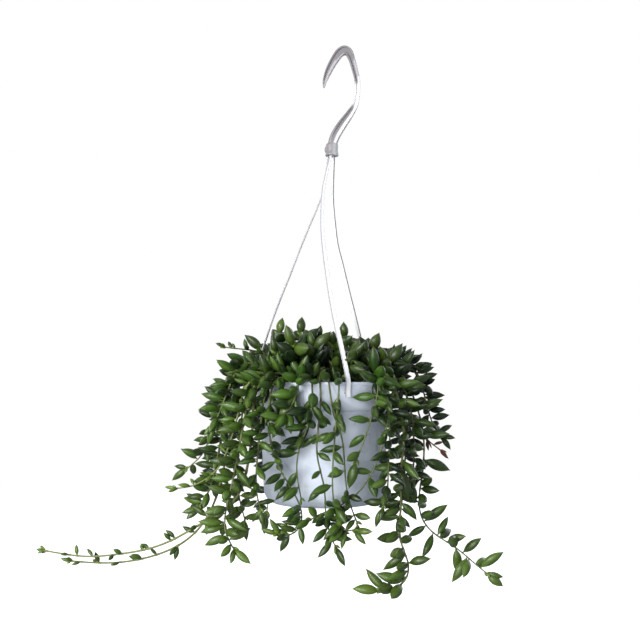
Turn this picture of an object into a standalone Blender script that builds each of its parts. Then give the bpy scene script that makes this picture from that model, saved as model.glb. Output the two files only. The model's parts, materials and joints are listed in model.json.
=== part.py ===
# Hanging pot with a trailing string of beads.
# A white moulded pot hangs by three flat tapes from a hook, and fleshy-leaved stems spill over its rim.
# Metres, +Z up. The world origin is the seat inside the hook's crown, where a rail or a nail carries it.
# Every sub-part is a child of the empty rim_centre, so all coordinates below run from the rim's centre.

import math
import random

import bmesh
import bpy
from mathutils import Vector, kdtree

MM = 0.001
FIT_GAP = 0.3 * MM  # left between pieces that touch
SHARP_ANGLE = math.radians(35)

# Where the pot hangs under the hook's seat
POT_AXIS_X = -22 * MM
RIM_BELOW_SEAT = 350 * MM

# Pot
POT_SIDES = 32
RIM_RADIUS = 70 * MM
LIP_HEIGHT = 3.4 * MM
BAND_RADIUS = 68.9 * MM
BAND_FOOT_RADIUS = 68.1 * MM
BAND_HEIGHT = 28 * MM
BODY_RADIUS = 66.8 * MM
BODY_FOOT_RADIUS = 62.6 * MM
POT_HEIGHT = 125 * MM
CORNER_RADIUS = 14 * MM
WALL = 1.8 * MM
LIP_BEVEL = 0.6 * MM
BAND_LEDGE = 1 * MM  # height of the sloping step under the band
FOOT_INNER_RADIUS = 40 * MM
FOOT_HEIGHT = 2.4 * MM
DRAIN_COUNT = 6
DRAIN_SIDES = 8
DRAIN_RING_RADIUS = 26 * MM
DRAIN_RADIUS = 4 * MM

# Soil
SOIL_SIDES = 24
SOIL_DROP = 17 * MM  # below the rim
SOIL_CORNER = ((-11, 0), (-3.6, 3.6), (0, 11))  # out and up from where its wall would meet its base, in mm
SOIL_MARGIN = 1.8 * MM  # kept to the inside of the band
SOIL_EDGE_WIDTH = 3.2 * MM
SOIL_EDGE_DROP = 1.5 * MM
ROOT_DEPTH = 9 * MM
ROOT_HOLE_SIDES = 3
ROOT_HOLE_RADIUS = 3.6 * MM
ROOT_END_GAP = 1.5 * MM  # under a root, to the bottom of its hole
ROOT_RING = 54 * MM  # no stem is rooted further out
ROOT_SPACING = 8 * MM

# Tapes of the hanger
TAPE_WIDTH_TOP = 2.6 * MM
TAPE_WIDTH_FOOT = 5.6 * MM
TAPE_THICKNESS = 1.3 * MM
TAPE_STEP = 11 * MM
SLOT_TOP = -8 * MM
SLOT_HEIGHT = 3.6 * MM
SLOT_WIDTH = 5.4 * MM
PEG_WIDTH = 4.4 * MM
PEG_HEIGHT = 1.8 * MM
PEG_LIP_RISE = 1.6 * MM
PEG_LIP_THICKNESS = 1.4 * MM
TAPE_FOOT = -15 * MM

# Collar under the hook that takes the tapes' heads
COLLAR_CENTRE = Vector((8.6, 0, 0)) * MM
COLLAR_TOP = 254 * MM
COLLAR_FOOT = 240.5 * MM
COLLAR_SIDES = 16
SOCKET_DEPTH = 6 * MM
TAPE_NECK_HEIGHT = 239.5 * MM  # below this the tapes leave the collar and bend
HOOK_SIDES = 8
HOOK_STEP = 5.5 * MM
HOOK_DEPTH = 3.1 * MM  # half of its thickness across the hook's plane

# Stems and leaves
STEM_RADIUS = 1.25 * MM
STEM_SIDES = 3
STEM_STEP = 6.5 * MM  # spacing of the points that are kept clear of each other
STEM_KNOT_EVERY = 2
STEM_CLEARANCE = 5.2 * MM
STEM_TAPER = 0.35
RIM_CLEARANCE = 0.8 * MM
WALL_CLEARANCE = 1 * MM
RIM_ZONE = 7 * MM  # a stem that meets the wall higher than this is lifted over the rim
TAPE_CLEARANCE = 1.6 * MM
ROUTE_ROUNDS = 40
ROUTE_EASING = 0.12
LEAF_SIDES = 3
LEAF_RINGS = ((0.3, 0.95), (0.64, 1.0))  # place along the leaf, share of its full radius
LEAF_GAP = 0.45 * MM
LEAF_CROWDING = 0.9  # share of the balls' size that leaves on one stem keep apart
LEAF_SPACING = 1.58  # times the spacing given for each stem
LEAN_OF_TRAILS = 0.8
LEAN_OF_SHOOTS = 0.45
LEAF_FATNESS = (0.205, 0.24)  # radius over length
LEAF_TRIES = 9
FIRM_TRIES = 5  # tries at full length, before shorter leaves are tried
SHORT_LEAF = 0.8
SWING_STEP = 0.6
END_ON = 0.93  # a leaf closer to its stem's direction than this is not grown
CHORD_ROUNDS = 24
CHORD_CLEARANCE = 1.2 * MM
CHORD_SHARES = (0.1, 0.3, 0.5, 0.7, 0.9)
GOLDEN_ANGLE = math.radians(137.5)

# Centreline of the hook from its tip to its collar, with half of its width in its plane
HOOK_ROUTE = [
    (0, 315, 0.9), (1, 322, 2.3), (4, 330.5, 3.4), (8, 339, 4), (13, 347.5, 4.5), (17.4, 353.4, 4.9),
    (22.4, 356, 5.2), (27, 353, 4.2), (30.2, 345, 3.4), (33, 335, 3.1), (35.5, 324, 2.9), (36, 311, 2.7),
    (33.8, 297, 3.1), (28, 286.5, 4.1), (19.5, 274.5, 5), (13, 264, 5.2), (9.8, 256, 5), (8.8, 251, 4.8),
]

# Tapes: each one's azimuth at the rim, from the front towards +X, and its centreline from collar to rim
TAPES = {
    "front": (19, [(7, -3.5, 246), (5.8, -4.2, 233), (2.4, -6, 219), (-1.2, -9, 197), (-2, -18, 163),
                   (0, -26, 136), (4, -36, 104), (8, -44, 78), (12, -52, 57), (17.5, -60.5, 32)]),
    "left": (-101, [(4.6, 1.4, 246), (3.4, 1.5, 231), (-0.6, 2, 204), (-6, 3, 188), (-17, 5, 162),
                    (-26, 6.4, 140), (-36, 8.2, 114), (-47, 10, 87), (-58, 12, 57), (-67.5, 13.2, 26)]),
    "right": (139, [(10.6, 2.9, 246), (10.2, 4, 231), (9.2, 9, 206), (9.6, 12.5, 190), (11.6, 18.5, 169),
                    (14.5, 24.5, 148), (20, 30.5, 127), (26.5, 38, 101), (34, 46, 72), (42, 52.5, 38)]),
}

# Trailing stems, in millimetres from the rim's centre: route, lean of the leaves, leaf length at the
# root and at the tip, and spacing of the leaves
TRAILS = {
    "bead_chain": ([(-41, -10, -3), (-54, -15, 24), (-70, -20, 34), (-84, -24, 35), (-96, -25, 31),
                    (-103, -25, 36)], (-0.3, -0.4, 0.9), 13, 9, 10),
    "left_stub": ([(-50, -30, -10), (-64, -36, 16), (-79, -45, 25), (-88, -50, 14), (-93, -55, 0),
                   (-96, -55, -12), (-103, -55, -27), (-109, -52, -42)], (-0.9, -0.2, 0.3), 21, 17, 9),
    "left_light": ([(-42, -42, -13), (-57, -51, 13), (-71, -61, 8), (-80, -68, -12), (-84, -70, -31),
                    (-88, -70, -49), (-94, -68, -65), (-100, -66, -83), (-112, -60, -94), (-124, -56, -100),
                    (-139, -52, -108), (-148, -50, -105)], (-0.7, -0.3, 0.5), 18, 9, 17),
    "left_long": ([(-39, -50, -13), (-57, -58, 9), (-68, -66, 4), (-70, -73, -13), (-69, -75, -37),
                   (-70, -75, -56), (-73, -75, -73), (-76, -72, -93), (-81, -69, -107), (-88, -66, -120),
                   (-100, -63, -129), (-117, -60, -135), (-141, -60, -151), (-170, -60, -163),
                   (-204, -60, -168), (-229, -60, -171), (-252, -60, -168), (-274, -60, -164)],
                  (-0.5, -0.3, 0.8), 19, 8, 15),
    "left_long_low": ([(-46, 0, -3), (-70, 5, 14), (-88, 0, -12), (-97, -8, -50), (-103, -18, -90),
                       (-111, -32, -124), (-125, -42, -148), (-145, -48, -163), (-170, -50, -172),
                       (-200, -50, -178), (-228, -50, -178), (-250, -50, -176)],
                      (-0.6, -0.4, 0.6), 19, 8, 12),
    "left_thin": ([(-57, 10, -3), (-82, 10, 20), (-102, 6, -3), (-114, 0, -35), (-120, 0, -61),
                   (-125, 0, -77), (-133, 0, -85), (-143, 0, -90)], (-0.9, -0.1, 0.5), 19, 16, 12),
    "left_back": ([(-56, 24, -9), (-80, 29, 15), (-99, 30, -9), (-107, 27, -46), (-113, 22, -83),
                   (-118, 16, -112), (-130, 10, -130)], (-0.9, -0.1, 0.3), 19, 15, 11),
    "left_mass": ([(-47, -20, -3), (-70, -30, 14), (-87, -36, -2), (-98, -38, -31), (-105, -36, -61),
                   (-110, -34, -88), (-115, -34, -112), (-126, -34, -126)], (-0.9, -0.3, 0.3), 20, 16, 10),
    "left_inner": ([(-49, -35, -6), (-64, -45, 12), (-77, -52, -3), (-81, -54, -28), (-84, -53, -57),
                    (-86, -52, -87), (-85, -52, -115), (-78, -52, -136)], (-0.9, -0.2, 0.3), 20, 16, 10),
    "left_front": ([(-42, -55, -10), (-58, -62, 10), (-72, -73, -10), (-78, -80, -41), (-84, -84, -75),
                    (-89, -88, -103), (-95, -90, -126), (-97, -92, -144), (-85, -94, -157)],
                   (-0.8, -0.5, 0.2), 21, 18, 10),
    "left_edge": ([(-38, -58, -13), (-50, -66, 7), (-58, -76, -10), (-61, -84, -41), (-64, -86, -70),
                   (-66, -83, -94), (-66, -80, -112), (-61, -78, -123)], (-0.9, -0.3, 0.2), 19, 14, 12),
    "front_hook": ([(-34, -50, -14), (-45, -63, 9), (-52, -76, -4), (-54, -82, -25), (-54, -84, -48),
                    (-50, -83, -67), (-43, -81, -84), (-35, -79, -98), (-24, -76, -114), (-18, -75, -128),
                    (-20, -76, -141), (-30, -78, -150), (-40, -80, -152), (-45, -80, -145)],
                   (-0.9, -0.4, -0.1), 20, 14, 11),
    "front_plump": ([(-24, -40, -10), (-24, -62, 9), (-24, -77, -1), (-27, -84, -17), (-34, -88, -31),
                     (-42, -90, -37)], (-0.9, -0.4, -0.1), 23, 19, 9),
    "front_mid": ([(-18, -45, -10), (-14, -63, 9), (-11, -78, -6), (-11, -84, -22), (-14, -86, -41),
                   (-21, -87, -55), (-27, -85, -67), (-28, -83, -84), (-25, -81, -99), (-22, -80, -113)],
                  (-0.8, -0.5, -0.2), 21, 17, 10),
    "front_beads": ([(-9, -50, -10), (-6, -65, 9), (-3, -79, -8), (-4, -83, -34), (-8, -83, -56),
                     (-9, -82, -71), (-5, -81, -83), (0, -80, -95), (2, -79, -108), (1, -77, -122),
                     (2, -75, -138), (5, -73, -152), (11, -72, -159)], (0.1, -0.9, -0.1), 14, 16, 11),
    "front_diag": ([(2, -45, -10), (3, -64, 9), (5, -78, -8), (7, -83, -24), (12, -84, -37), (17, -84, -48),
                    (19, -83, -62), (19, -82, -80), (20, -80, -96), (22, -78, -111), (26, -76, -124),
                    (32, -76, -136)], (-0.8, -0.5, 0), 19, 15, 14),
    "front_right": ([(44, -35, -6), (52, -52, 14), (54, -68, -1), (52, -77, -17), (45, -83, -33),
                     (41, -85, -48), (36, -86, -62), (30, -86, -76)], (-0.9, -0.3, 0.1), 22, 19, 9),
    "pot_hug": ([(58, -28, -3), (70, -42, 15), (69, -60, -8), (63, -68, -35), (57, -73, -60), (51, -74, -77),
                 (45, -74, -92), (38, -73, -104), (26, -73, -114), (13, -74, -121), (-2, -75, -126),
                 (-14, -78, -132)], (-0.6, -0.6, -0.2), 18, 16, 21),
    "front_low": ([(14, -48, -10), (15, -64, 9), (14, -80, -12), (11, -87, -38), (9, -90, -65),
                   (7, -90, -89), (8, -86, -112), (11, -82, -131), (15, -80, -147), (22, -80, -149),
                   (29, -80, -141)], (-0.7, -0.6, -0.2), 18, 18, 12),
    "right_main": ([(37, -30, -3), (56, -42, 18), (71, -52, -2), (75, -57, -28), (78, -60, -42),
                    (80, -62, -54), (78, -62, -67), (75, -62, -81), (74, -62, -101), (76, -61, -120),
                    (75, -63, -132), (71, -65, -144), (70, -67, -154), (75, -69, -162), (83, -70, -171),
                    (86, -72, -183), (79, -74, -193), (70, -74, -200), (60, -74, -204), (53, -74, -200)],
                   (-0.8, -0.4, 0.1), 21, 20, 10),
    "right_long": ([(43, -10, 2), (66, -12, 23), (83, -14, 6), (90, -16, -8), (95, -18, -22), (99, -20, -37),
                    (103, -22, -54), (102, -24, -74), (101, -26, -91), (97, -28, -107), (94, -30, -121),
                    (95, -32, -135), (101, -34, -147), (113, -36, -155), (126, -38, -161), (136, -40, -165),
                    (141, -42, -173), (151, -44, -182), (161, -46, -189)], (0, -0.5, 0.5), 18, 20, 11),
    "right_outer": ([(40, 12, 4), (72, 16, 27), (95, 16, 17), (105, 16, -3), (109, 15, -21), (112, 14, -38),
                     (116, 13, -51), (124, 12, -58)], (0.8, -0.3, 0.3), 18, 15, 9),
    "right_dark": ([(39, -20, -3), (64, -28, 15), (80, -34, -2), (87, -38, -23), (90, -40, -43),
                    (90, -41, -63), (90, -42, -83), (88, -42, -102)], (0.3, -0.7, 0.1), 20, 17, 10),
    "right_inner": ([(30, -38, -8), (49, -56, 10), (60, -68, -6), (62, -74, -27), (64, -76, -52),
                     (62, -76, -74), (61, -75, -95), (63, -74, -110), (57, -73, -121)],
                    (-0.7, -0.5, -0.1), 19, 16, 12),
    "right_side": ([(37, 0, -1), (66, -2, 18), (78, -4, 0), (83, -6, -24), (85, -8, -49), (84, -10, -75),
                    (83, -12, -100), (81, -14, -120), (77, -16, -138)], (0.6, -0.6, 0), 18, 15, 11),
    "right_back": ([(37, 30, 4), (61, 40, 22), (80, 48, 2), (86, 52, -25), (88, 52, -58), (86, 50, -88)],
                   (0.7, 0.4, 0.1), 18, 15, 11),
    "right_top": ([(33, 20, 7), (60, 24, 31), (88, 27, 24), (102, 28, 10), (109, 28, -4)],
                  (0.6, -0.1, 0.7), 18, 14, 9),
}
WITHERED = ([(44, 2, 2), (68, 4, 16), (84, 3, -2), (90, 1, -28), (94, -3, -48), (101, -7, -57),
             (112, -9, -64), (120, -9, -70)], (0.5, -0.5, -0.4), 8, 6, 16)

# Stems behind the pot, by azimuth from the front towards +X: length of the fall and reach from the axis
BACK_TRAILS = {
    "back_a": (148, 96, 84),
    "back_b": (172, 132, 86),
    "back_c": (198, 78, 84),
    "back_d": (224, 146, 87),
}
BACK_LEAF = (20, 17, 13)

# Short upright shoots of the crown: root and tip
TUFTS = [
    ((-34, -24), (-50, -38, 30)), ((-24, -38), (-31, -52, 36)), ((-38, -4), (-47, -12, 50)),
    ((-20, -12), (-25, -18, 50)), ((-8, -32), (-12, -47, 34)), ((-4, 2), (-6, -4, 46)),
    ((8, -20), (8, -34, 38)), ((12, 8), (22, 4, 46)), ((20, -32), (28, -46, 22)),
    ((32, -10), (43, -17, 30)), ((36, 16), (50, 15, 32)), ((46, -26), (63, -32, 18)),
    ((28, 34), (38, 46, 34)), ((-28, 28), (-40, 38, 40)), ((2, 34), (0, 50, 42)), ((-44, 14), (-66, 20, 34)),
]
TUFT_LEAF = (22, 21, 6)

COLOURS = {
    "white": (0.84, 0.85, 0.88, 1),
    "soil": (0.05, 0.032, 0.022, 1),
    "leaf": (0.07, 0.17, 0.035, 1),
    "withered": (0.16, 0.055, 0.035, 1),
}


def material(name, colour, roughness):
    made = bpy.data.materials.new(name)
    made.use_nodes = True
    shader = made.node_tree.nodes["Principled BSDF"]
    shader.inputs["Base Color"].default_value = colour
    shader.inputs["Roughness"].default_value = roughness
    shader.inputs["Metallic"].default_value = 0.0
    return made


def object_from(bm, name, parent=None, finish=None, smooth=True):
    bmesh.ops.recalc_face_normals(bm, faces=bm.faces)
    mesh = bpy.data.meshes.new(name)
    bm.to_mesh(mesh)
    bm.free()
    if smooth:
        mesh.shade_smooth()
        mesh.set_sharp_from_angle(angle=SHARP_ANGLE)
    made = bpy.data.objects.new(name, mesh)
    bpy.context.scene.collection.objects.link(made)
    made.parent = parent
    if finish is not None:
        mesh.materials.append(finish)
    return made


def combine(target, pieces, operation):
    # Joins the pieces to the target, or cuts them from it, in one Boolean on their collection.
    group = bpy.data.collections.new("pieces")
    bpy.context.scene.collection.children.link(group)
    for piece in pieces:
        for holder in list(piece.users_collection):
            holder.objects.unlink(piece)
        group.objects.link(piece)
        piece.parent = target.parent
    step = target.modifiers.new("combine", "BOOLEAN")
    step.operation = operation
    step.operand_type = "COLLECTION"
    step.collection = group
    step.solver = "EXACT"
    bpy.context.view_layer.update()
    evaluated = target.evaluated_get(bpy.context.evaluated_depsgraph_get())
    result = bpy.data.meshes.new_from_object(evaluated)
    target.modifiers.remove(step)
    if result.polygons[0].use_smooth:
        result.set_sharp_from_angle(angle=SHARP_ANGLE)
    target.data = result
    for piece in pieces:
        bpy.data.objects.remove(piece)
    bpy.data.collections.remove(group)


def bridge(bm, lower, upper):
    count = len(lower)
    for index in range(count):
        after = (index + 1) % count
        bm.faces.new((lower[index], lower[after], upper[after], upper[index]))


def fan(bm, ring, tip):
    for index in range(len(ring)):
        bm.faces.new((ring[index], ring[(index + 1) % len(ring)], tip))


def turned(profile, sides, centre=Vector((0, 0, 0))):
    # A closed turned solid: the profile starts and ends on the axis.
    bm = bmesh.new()
    first = bm.verts.new(centre + Vector((0, 0, profile[0][1])))
    rings = []
    for radius, height in profile[1:-1]:
        turns = [math.tau * index / sides for index in range(sides)]
        rings.append([bm.verts.new(centre + Vector((radius * math.cos(a), radius * math.sin(a), height)))
                      for a in turns])
    last = bm.verts.new(centre + Vector((0, 0, profile[-1][1])))
    fan(bm, rings[0], first)
    for lower, upper in zip(rings, rings[1:]):
        bridge(bm, lower, upper)
    fan(bm, rings[-1], last)
    return bm


def box(size, centre, spin=0.0):
    bm = bmesh.new()
    bmesh.ops.create_cube(bm, size=1.0)
    bmesh.ops.scale(bm, vec=size, verts=bm.verts)
    bmesh.ops.rotate(bm, cent=(0, 0, 0), verts=bm.verts,
                     matrix=Vector((1, 0, 0)).rotation_difference(Vector((math.cos(spin), math.sin(spin), 0)))
                     .to_matrix())
    bmesh.ops.translate(bm, vec=centre, verts=bm.verts)
    return bm


def swept(sections):
    # A closed solid through sections, each a list of corner points in order.
    bm = bmesh.new()
    rings = [[bm.verts.new(point) for point in section] for section in sections]
    for lower, upper in zip(rings, rings[1:]):
        bridge(bm, lower, upper)
    bm.faces.new(rings[0][::-1])
    bm.faces.new(rings[-1])
    return bm


def smooth_route(points, step):
    # Points about a step apart on a smooth curve through the given ones.
    ends = [points[0] * 2 - points[1]] + list(points) + [points[-1] * 2 - points[-2]]
    dense = [points[0]]
    for before, start, stop, after in zip(ends, ends[1:], ends[2:], ends[3:]):
        for tick in range(1, 13):
            t = tick / 12
            dense.append(0.5 * (2 * start + (stop - before) * t
                                + (2 * before - 5 * start + 4 * stop - after) * t * t
                                + (3 * start - before - 3 * stop + after) * t ** 3))
    return even_route(dense, step)


def even_route(points, step):
    lengths = [0.0]
    for start, stop in zip(points, points[1:]):
        lengths.append(lengths[-1] + (stop - start).length)
    count = max(2, round(lengths[-1] / step))
    route = []
    place = 0
    for index in range(count + 1):
        wanted = lengths[-1] * index / count
        while place < len(points) - 2 and lengths[place + 1] < wanted:
            place += 1
        share = (wanted - lengths[place]) / max(lengths[place + 1] - lengths[place], 1e-9)
        route.append(points[place].lerp(points[place + 1], share))
    return route


# Pot and soil

def outer_radius(height):
    # Radius of the pot's outside at a height below the rim.
    if height > -LIP_HEIGHT:
        return RIM_RADIUS
    if height > -BAND_HEIGHT:
        share = -height / BAND_HEIGHT
        return BAND_RADIUS + (BAND_FOOT_RADIUS - BAND_RADIUS) * share
    corner = -POT_HEIGHT + CORNER_RADIUS
    share = min(1.0, (-height - BAND_HEIGHT) / (POT_HEIGHT - CORNER_RADIUS - BAND_HEIGHT))
    radius = BODY_RADIUS + (BODY_FOOT_RADIUS - BODY_RADIUS) * share
    if height < corner:
        drop = min(corner - height, CORNER_RADIUS)
        radius -= CORNER_RADIUS - math.sqrt(CORNER_RADIUS ** 2 - drop ** 2)
    return radius


def corner_points(radius, count):
    # The rounded bottom edge, from the foot up to the wall.
    centre_radius = BODY_FOOT_RADIUS - CORNER_RADIUS
    centre_height = -POT_HEIGHT + CORNER_RADIUS
    points = []
    for index in range(count + 1):
        angle = math.pi / 2 * index / count
        points.append((centre_radius + radius * math.sin(angle), centre_height - radius * math.cos(angle)))
    return points


def pot_profile():
    # From the middle of the underside, over the lip and down to the middle of the floor.
    base = -POT_HEIGHT
    underside = base + FOOT_HEIGHT
    floor = underside + WALL
    outside = [(0, underside), (FOOT_INNER_RADIUS, underside), (FOOT_INNER_RADIUS, base)]
    outside += corner_points(CORNER_RADIUS, 3)
    outside += [(BODY_RADIUS, -BAND_HEIGHT - BAND_LEDGE), (BAND_FOOT_RADIUS, -BAND_HEIGHT),
                (BAND_RADIUS, -LIP_HEIGHT), (RIM_RADIUS, -LIP_HEIGHT + LIP_BEVEL), (RIM_RADIUS, -LIP_BEVEL),
                (RIM_RADIUS - LIP_BEVEL, 0)]
    bottom, middle, top = corner_points(CORNER_RADIUS - WALL, 2)
    inside = [(BAND_RADIUS - WALL, 0), (BAND_RADIUS - WALL, -BAND_HEIGHT + WALL),
              (BODY_RADIUS - WALL, -BAND_HEIGHT - BAND_LEDGE), top, middle, (bottom[0], floor), (0, floor)]
    return outside + inside


def add_pot(parent, finish):
    pot = object_from(turned(pot_profile(), POT_SIDES), "pot", parent, finish)
    cutters = []
    for azimuth, _ in TAPES.values():
        outward = direction_at(azimuth)
        centre = outward * (BAND_RADIUS - WALL / 2) + Vector((0, 0, SLOT_TOP - SLOT_HEIGHT / 2))
        cutters.append(object_from(box((WALL * 3, SLOT_WIDTH, SLOT_HEIGHT), centre,
                                       math.atan2(outward.y, outward.x)), "slot_cutter"))
    for index in range(DRAIN_COUNT):
        outward = direction_at(360 * index / DRAIN_COUNT)
        drain = bmesh.new()
        bmesh.ops.create_cone(drain, cap_ends=True, segments=DRAIN_SIDES, radius1=DRAIN_RADIUS,
                              radius2=DRAIN_RADIUS, depth=WALL * 4)
        centre = outward * DRAIN_RING_RADIUS + Vector((0, 0, -POT_HEIGHT + FOOT_HEIGHT + WALL / 2))
        bmesh.ops.translate(drain, vec=centre, verts=drain.verts)
        cutters.append(object_from(drain, "drain_cutter"))
    combine(pot, cutters, "DIFFERENCE")
    return pot


def add_soil(parent, finish, roots):
    base = -POT_HEIGHT + FOOT_HEIGHT + WALL + FIT_GAP
    body = BODY_FOOT_RADIUS - WALL - FIT_GAP
    top = BAND_FOOT_RADIUS - WALL - SOIL_MARGIN
    profile = [(0, base)]
    profile += [(body + out * MM, base + up * MM) for out, up in SOIL_CORNER]
    profile += [(top, -BAND_HEIGHT - SOIL_EDGE_DROP), (top, -SOIL_DROP - SOIL_EDGE_DROP),
                (top - SOIL_EDGE_WIDTH, -SOIL_DROP), (0, -SOIL_DROP)]
    soil = object_from(turned(profile, SOIL_SIDES), "soil", parent, finish)
    holes = []
    for root in roots:
        hole = bmesh.new()
        depth = ROOT_DEPTH + 4 * MM
        bmesh.ops.create_cone(hole, cap_ends=True, segments=ROOT_HOLE_SIDES, radius1=ROOT_HOLE_RADIUS,
                              radius2=ROOT_HOLE_RADIUS, depth=depth)
        middle = -SOIL_DROP - ROOT_DEPTH - ROOT_END_GAP / 2 + depth / 2
        bmesh.ops.translate(hole, vec=Vector((root.x, root.y, middle)), verts=hole.verts)
        holes.append(object_from(hole, "root_hole"))
    combine(soil, holes, "DIFFERENCE")
    return soil


# Hanger

def direction_at(azimuth):
    turn = math.radians(azimuth)
    return Vector((math.sin(turn), -math.cos(turn), 0))


def tape_route(azimuth, points):
    # The tape's centreline: over the rim's outside, then down to its foot.
    outward = direction_at(azimuth)
    clear = RIM_RADIUS + FIT_GAP + TAPE_THICKNESS / 2 + 0.1 * MM
    head = Vector(points[0]) * MM
    route = [Vector((head.x, head.y, TAPE_NECK_HEIGHT))]
    route += [Vector(point) * MM for point in points[1:]]
    route += [outward * clear + Vector((0, 0, 3 * MM)), outward * clear + Vector((0, 0, TAPE_FOOT / 2))]
    route += [outward * clear + Vector((0, 0, TAPE_FOOT))]
    return [head] + smooth_route(route, TAPE_STEP)


def tape_sections(azimuth, points):
    outward = direction_at(azimuth)
    across = Vector((-outward.y, outward.x, 0))
    route = tape_route(azimuth, points)
    sections = []
    for index, point in enumerate(route):
        along = (route[min(index + 1, len(route) - 1)] - route[max(index - 1, 0)]).normalized()
        wide = (across - along * across.dot(along)).normalized()
        thick = along.cross(wide)
        share = index / (len(route) - 1)
        half_width = (TAPE_WIDTH_TOP + (TAPE_WIDTH_FOOT - TAPE_WIDTH_TOP) * share ** 0.8) / 2
        half_depth = TAPE_THICKNESS / 2
        sections.append([point + wide * half_width * w + thick * half_depth * t
                         for w, t in ((-1, -1), (1, -1), (1, 1), (-1, 1))])
    return sections


def add_tape(name, azimuth, points, parent, finish):
    # A flat tape with a peg through the pot's slot and a lip turned up behind the wall.
    tape = object_from(swept(tape_sections(azimuth, points)), "tape_" + name, parent, finish)
    outward = direction_at(azimuth)
    spin = math.atan2(outward.y, outward.x)
    peg_top = SLOT_TOP - FIT_GAP
    lip_outer = BAND_RADIUS - WALL - FIT_GAP - 0.3 * MM
    lip_inner = lip_outer - PEG_LIP_THICKNESS
    peg_outer = RIM_RADIUS + FIT_GAP + TAPE_THICKNESS * 0.6
    peg = box((peg_outer - lip_inner, PEG_WIDTH, PEG_HEIGHT),
              outward * ((peg_outer + lip_inner) / 2) + Vector((0, 0, peg_top - PEG_HEIGHT / 2)), spin)
    rise = PEG_HEIGHT + PEG_LIP_RISE
    lip = box((PEG_LIP_THICKNESS, PEG_WIDTH, rise),
              outward * ((lip_outer + lip_inner) / 2) + Vector((0, 0, peg_top - PEG_HEIGHT + rise / 2)), spin)
    combine(tape, [object_from(peg, "peg"), object_from(lip, "lip")], "UNION")
    return tape


def hook_sections():
    # Flattened rounded sections along the hook's centreline, which lies in the XZ plane.
    # The middle number of each point carries the half width through the smoothing.
    smooth = smooth_route([Vector((x, half, z)) * MM for x, z, half in HOOK_ROUTE], HOOK_STEP)
    route = [Vector((point.x, 0, point.z)) for point in smooth]
    sections = []
    for index, point in enumerate(route):
        along = (route[min(index + 1, len(route) - 1)] - route[max(index - 1, 0)]).normalized()
        side = Vector((along.z, 0, -along.x))
        half_width = smooth[index].y
        half_depth = min(HOOK_DEPTH, half_width)
        ring = []
        for corner in range(HOOK_SIDES):
            turn = math.tau * (corner + 0.5) / HOOK_SIDES
            ring.append(point + side * half_width * 1.06 * math.cos(turn)
                        + Vector((0, 1, 0)) * half_depth * 1.06 * math.sin(turn))
        sections.append(ring)
    return sections


def add_hook(parent, finish):
    hook = object_from(swept(hook_sections()), "hook", parent, finish)
    profile = [(0, COLLAR_TOP), (4.4 * MM, COLLAR_TOP), (6.6 * MM, COLLAR_TOP - 2.6 * MM),
               (6.6 * MM, COLLAR_FOOT + 3.4 * MM), (7.1 * MM, COLLAR_FOOT + 1.2 * MM),
               (6.7 * MM, COLLAR_FOOT), (0, COLLAR_FOOT)]
    combine(hook, [object_from(turned(profile, COLLAR_SIDES, COLLAR_CENTRE), "collar")], "UNION")
    sockets = []
    for azimuth, points in TAPES.values():
        outward = direction_at(azimuth)
        head = Vector(points[0]) * MM
        size = (TAPE_THICKNESS + 1 * MM, TAPE_WIDTH_TOP + 0.9 * MM, SOCKET_DEPTH * 2)
        centre = Vector((head.x, head.y, COLLAR_FOOT))
        sockets.append(object_from(box(size, centre, math.atan2(outward.y, outward.x)), "socket"))
    combine(hook, sockets, "DIFFERENCE")
    return hook


# Stems

def point_tree(points):
    tree = kdtree.KDTree(len(points))
    for index, point in enumerate(points):
        tree.insert(point, index)
    tree.balance()
    return tree


def root_of(point):
    flat = Vector((point.x, point.y, 0))
    if flat.length > ROOT_RING:
        flat = flat.normalized() * ROOT_RING
    return flat


def all_stems():
    # Name, route from the first point over the soil, lean, leaf length at root and tip, and leaf spacing.
    stems = []
    for name, (points, lean, first, last, spacing) in TRAILS.items():
        stems.append(("trail_" + name, [Vector(p) * MM for p in points], Vector(lean), first, last, spacing))
    for name, (azimuth, fall, reach) in BACK_TRAILS.items():
        draw = random.Random(name)
        outward = direction_at(azimuth)
        points = [outward * 40 * MM + Vector((0, 0, -8)) * MM, outward * 62 * MM + Vector((0, 0, 16)) * MM]
        for share in (0.0, 0.3, 0.6, 1.0):
            sway = direction_at(azimuth + draw.uniform(-5, 5))
            points.append(sway * (reach + 4 * share) * MM + Vector((0, 0, -6 - (fall - 6) * share)) * MM)
        stems.append(("trail_" + name, points, outward + Vector((0, 0, -0.2)), *BACK_LEAF))
    for index, (root, tip) in enumerate(TUFTS):
        start = Vector((*root, -12)) * MM
        end = Vector(tip) * MM
        middle = start.lerp(end, 0.5) + Vector((0, 0, 6)) * MM
        lean = Vector((tip[0] - root[0], tip[1] - root[1], 26)).normalized()
        stems.append(("shoot_%02d" % (index + 1), [start, middle, end], lean, *TUFT_LEAF))
    points, lean, first, last, spacing = WITHERED
    stems.append(("trail_withered", [Vector(p) * MM for p in points], Vector(lean), first, last, spacing))
    return stems


def spread_roots(stems):
    roots = [root_of(stem[1][0]) for stem in stems]
    for _ in range(60):
        for index, root in enumerate(roots):
            for other in roots[:index]:
                apart = root - other
                if apart.length < ROOT_SPACING:
                    push = apart.normalized() * (ROOT_SPACING - apart.length) / 2
                    root += push
                    other -= push
            if root.length > ROOT_RING:
                root *= ROOT_RING / root.length
    return roots


def keep_off_pot(point, margin):
    # Moves a point out of the pot's wall and clear of its rim.
    radius = math.hypot(point.x, point.y)
    inner = BAND_RADIUS - WALL - margin - WALL_CLEARANCE
    outer = outer_radius(point.z) + margin
    if point.z > margin + RIM_CLEARANCE or radius < inner or radius > outer:
        return
    if point.z > -RIM_ZONE:
        point.z = margin + RIM_CLEARANCE
        return
    scale = outer / radius
    point.x *= scale
    point.y *= scale


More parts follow.
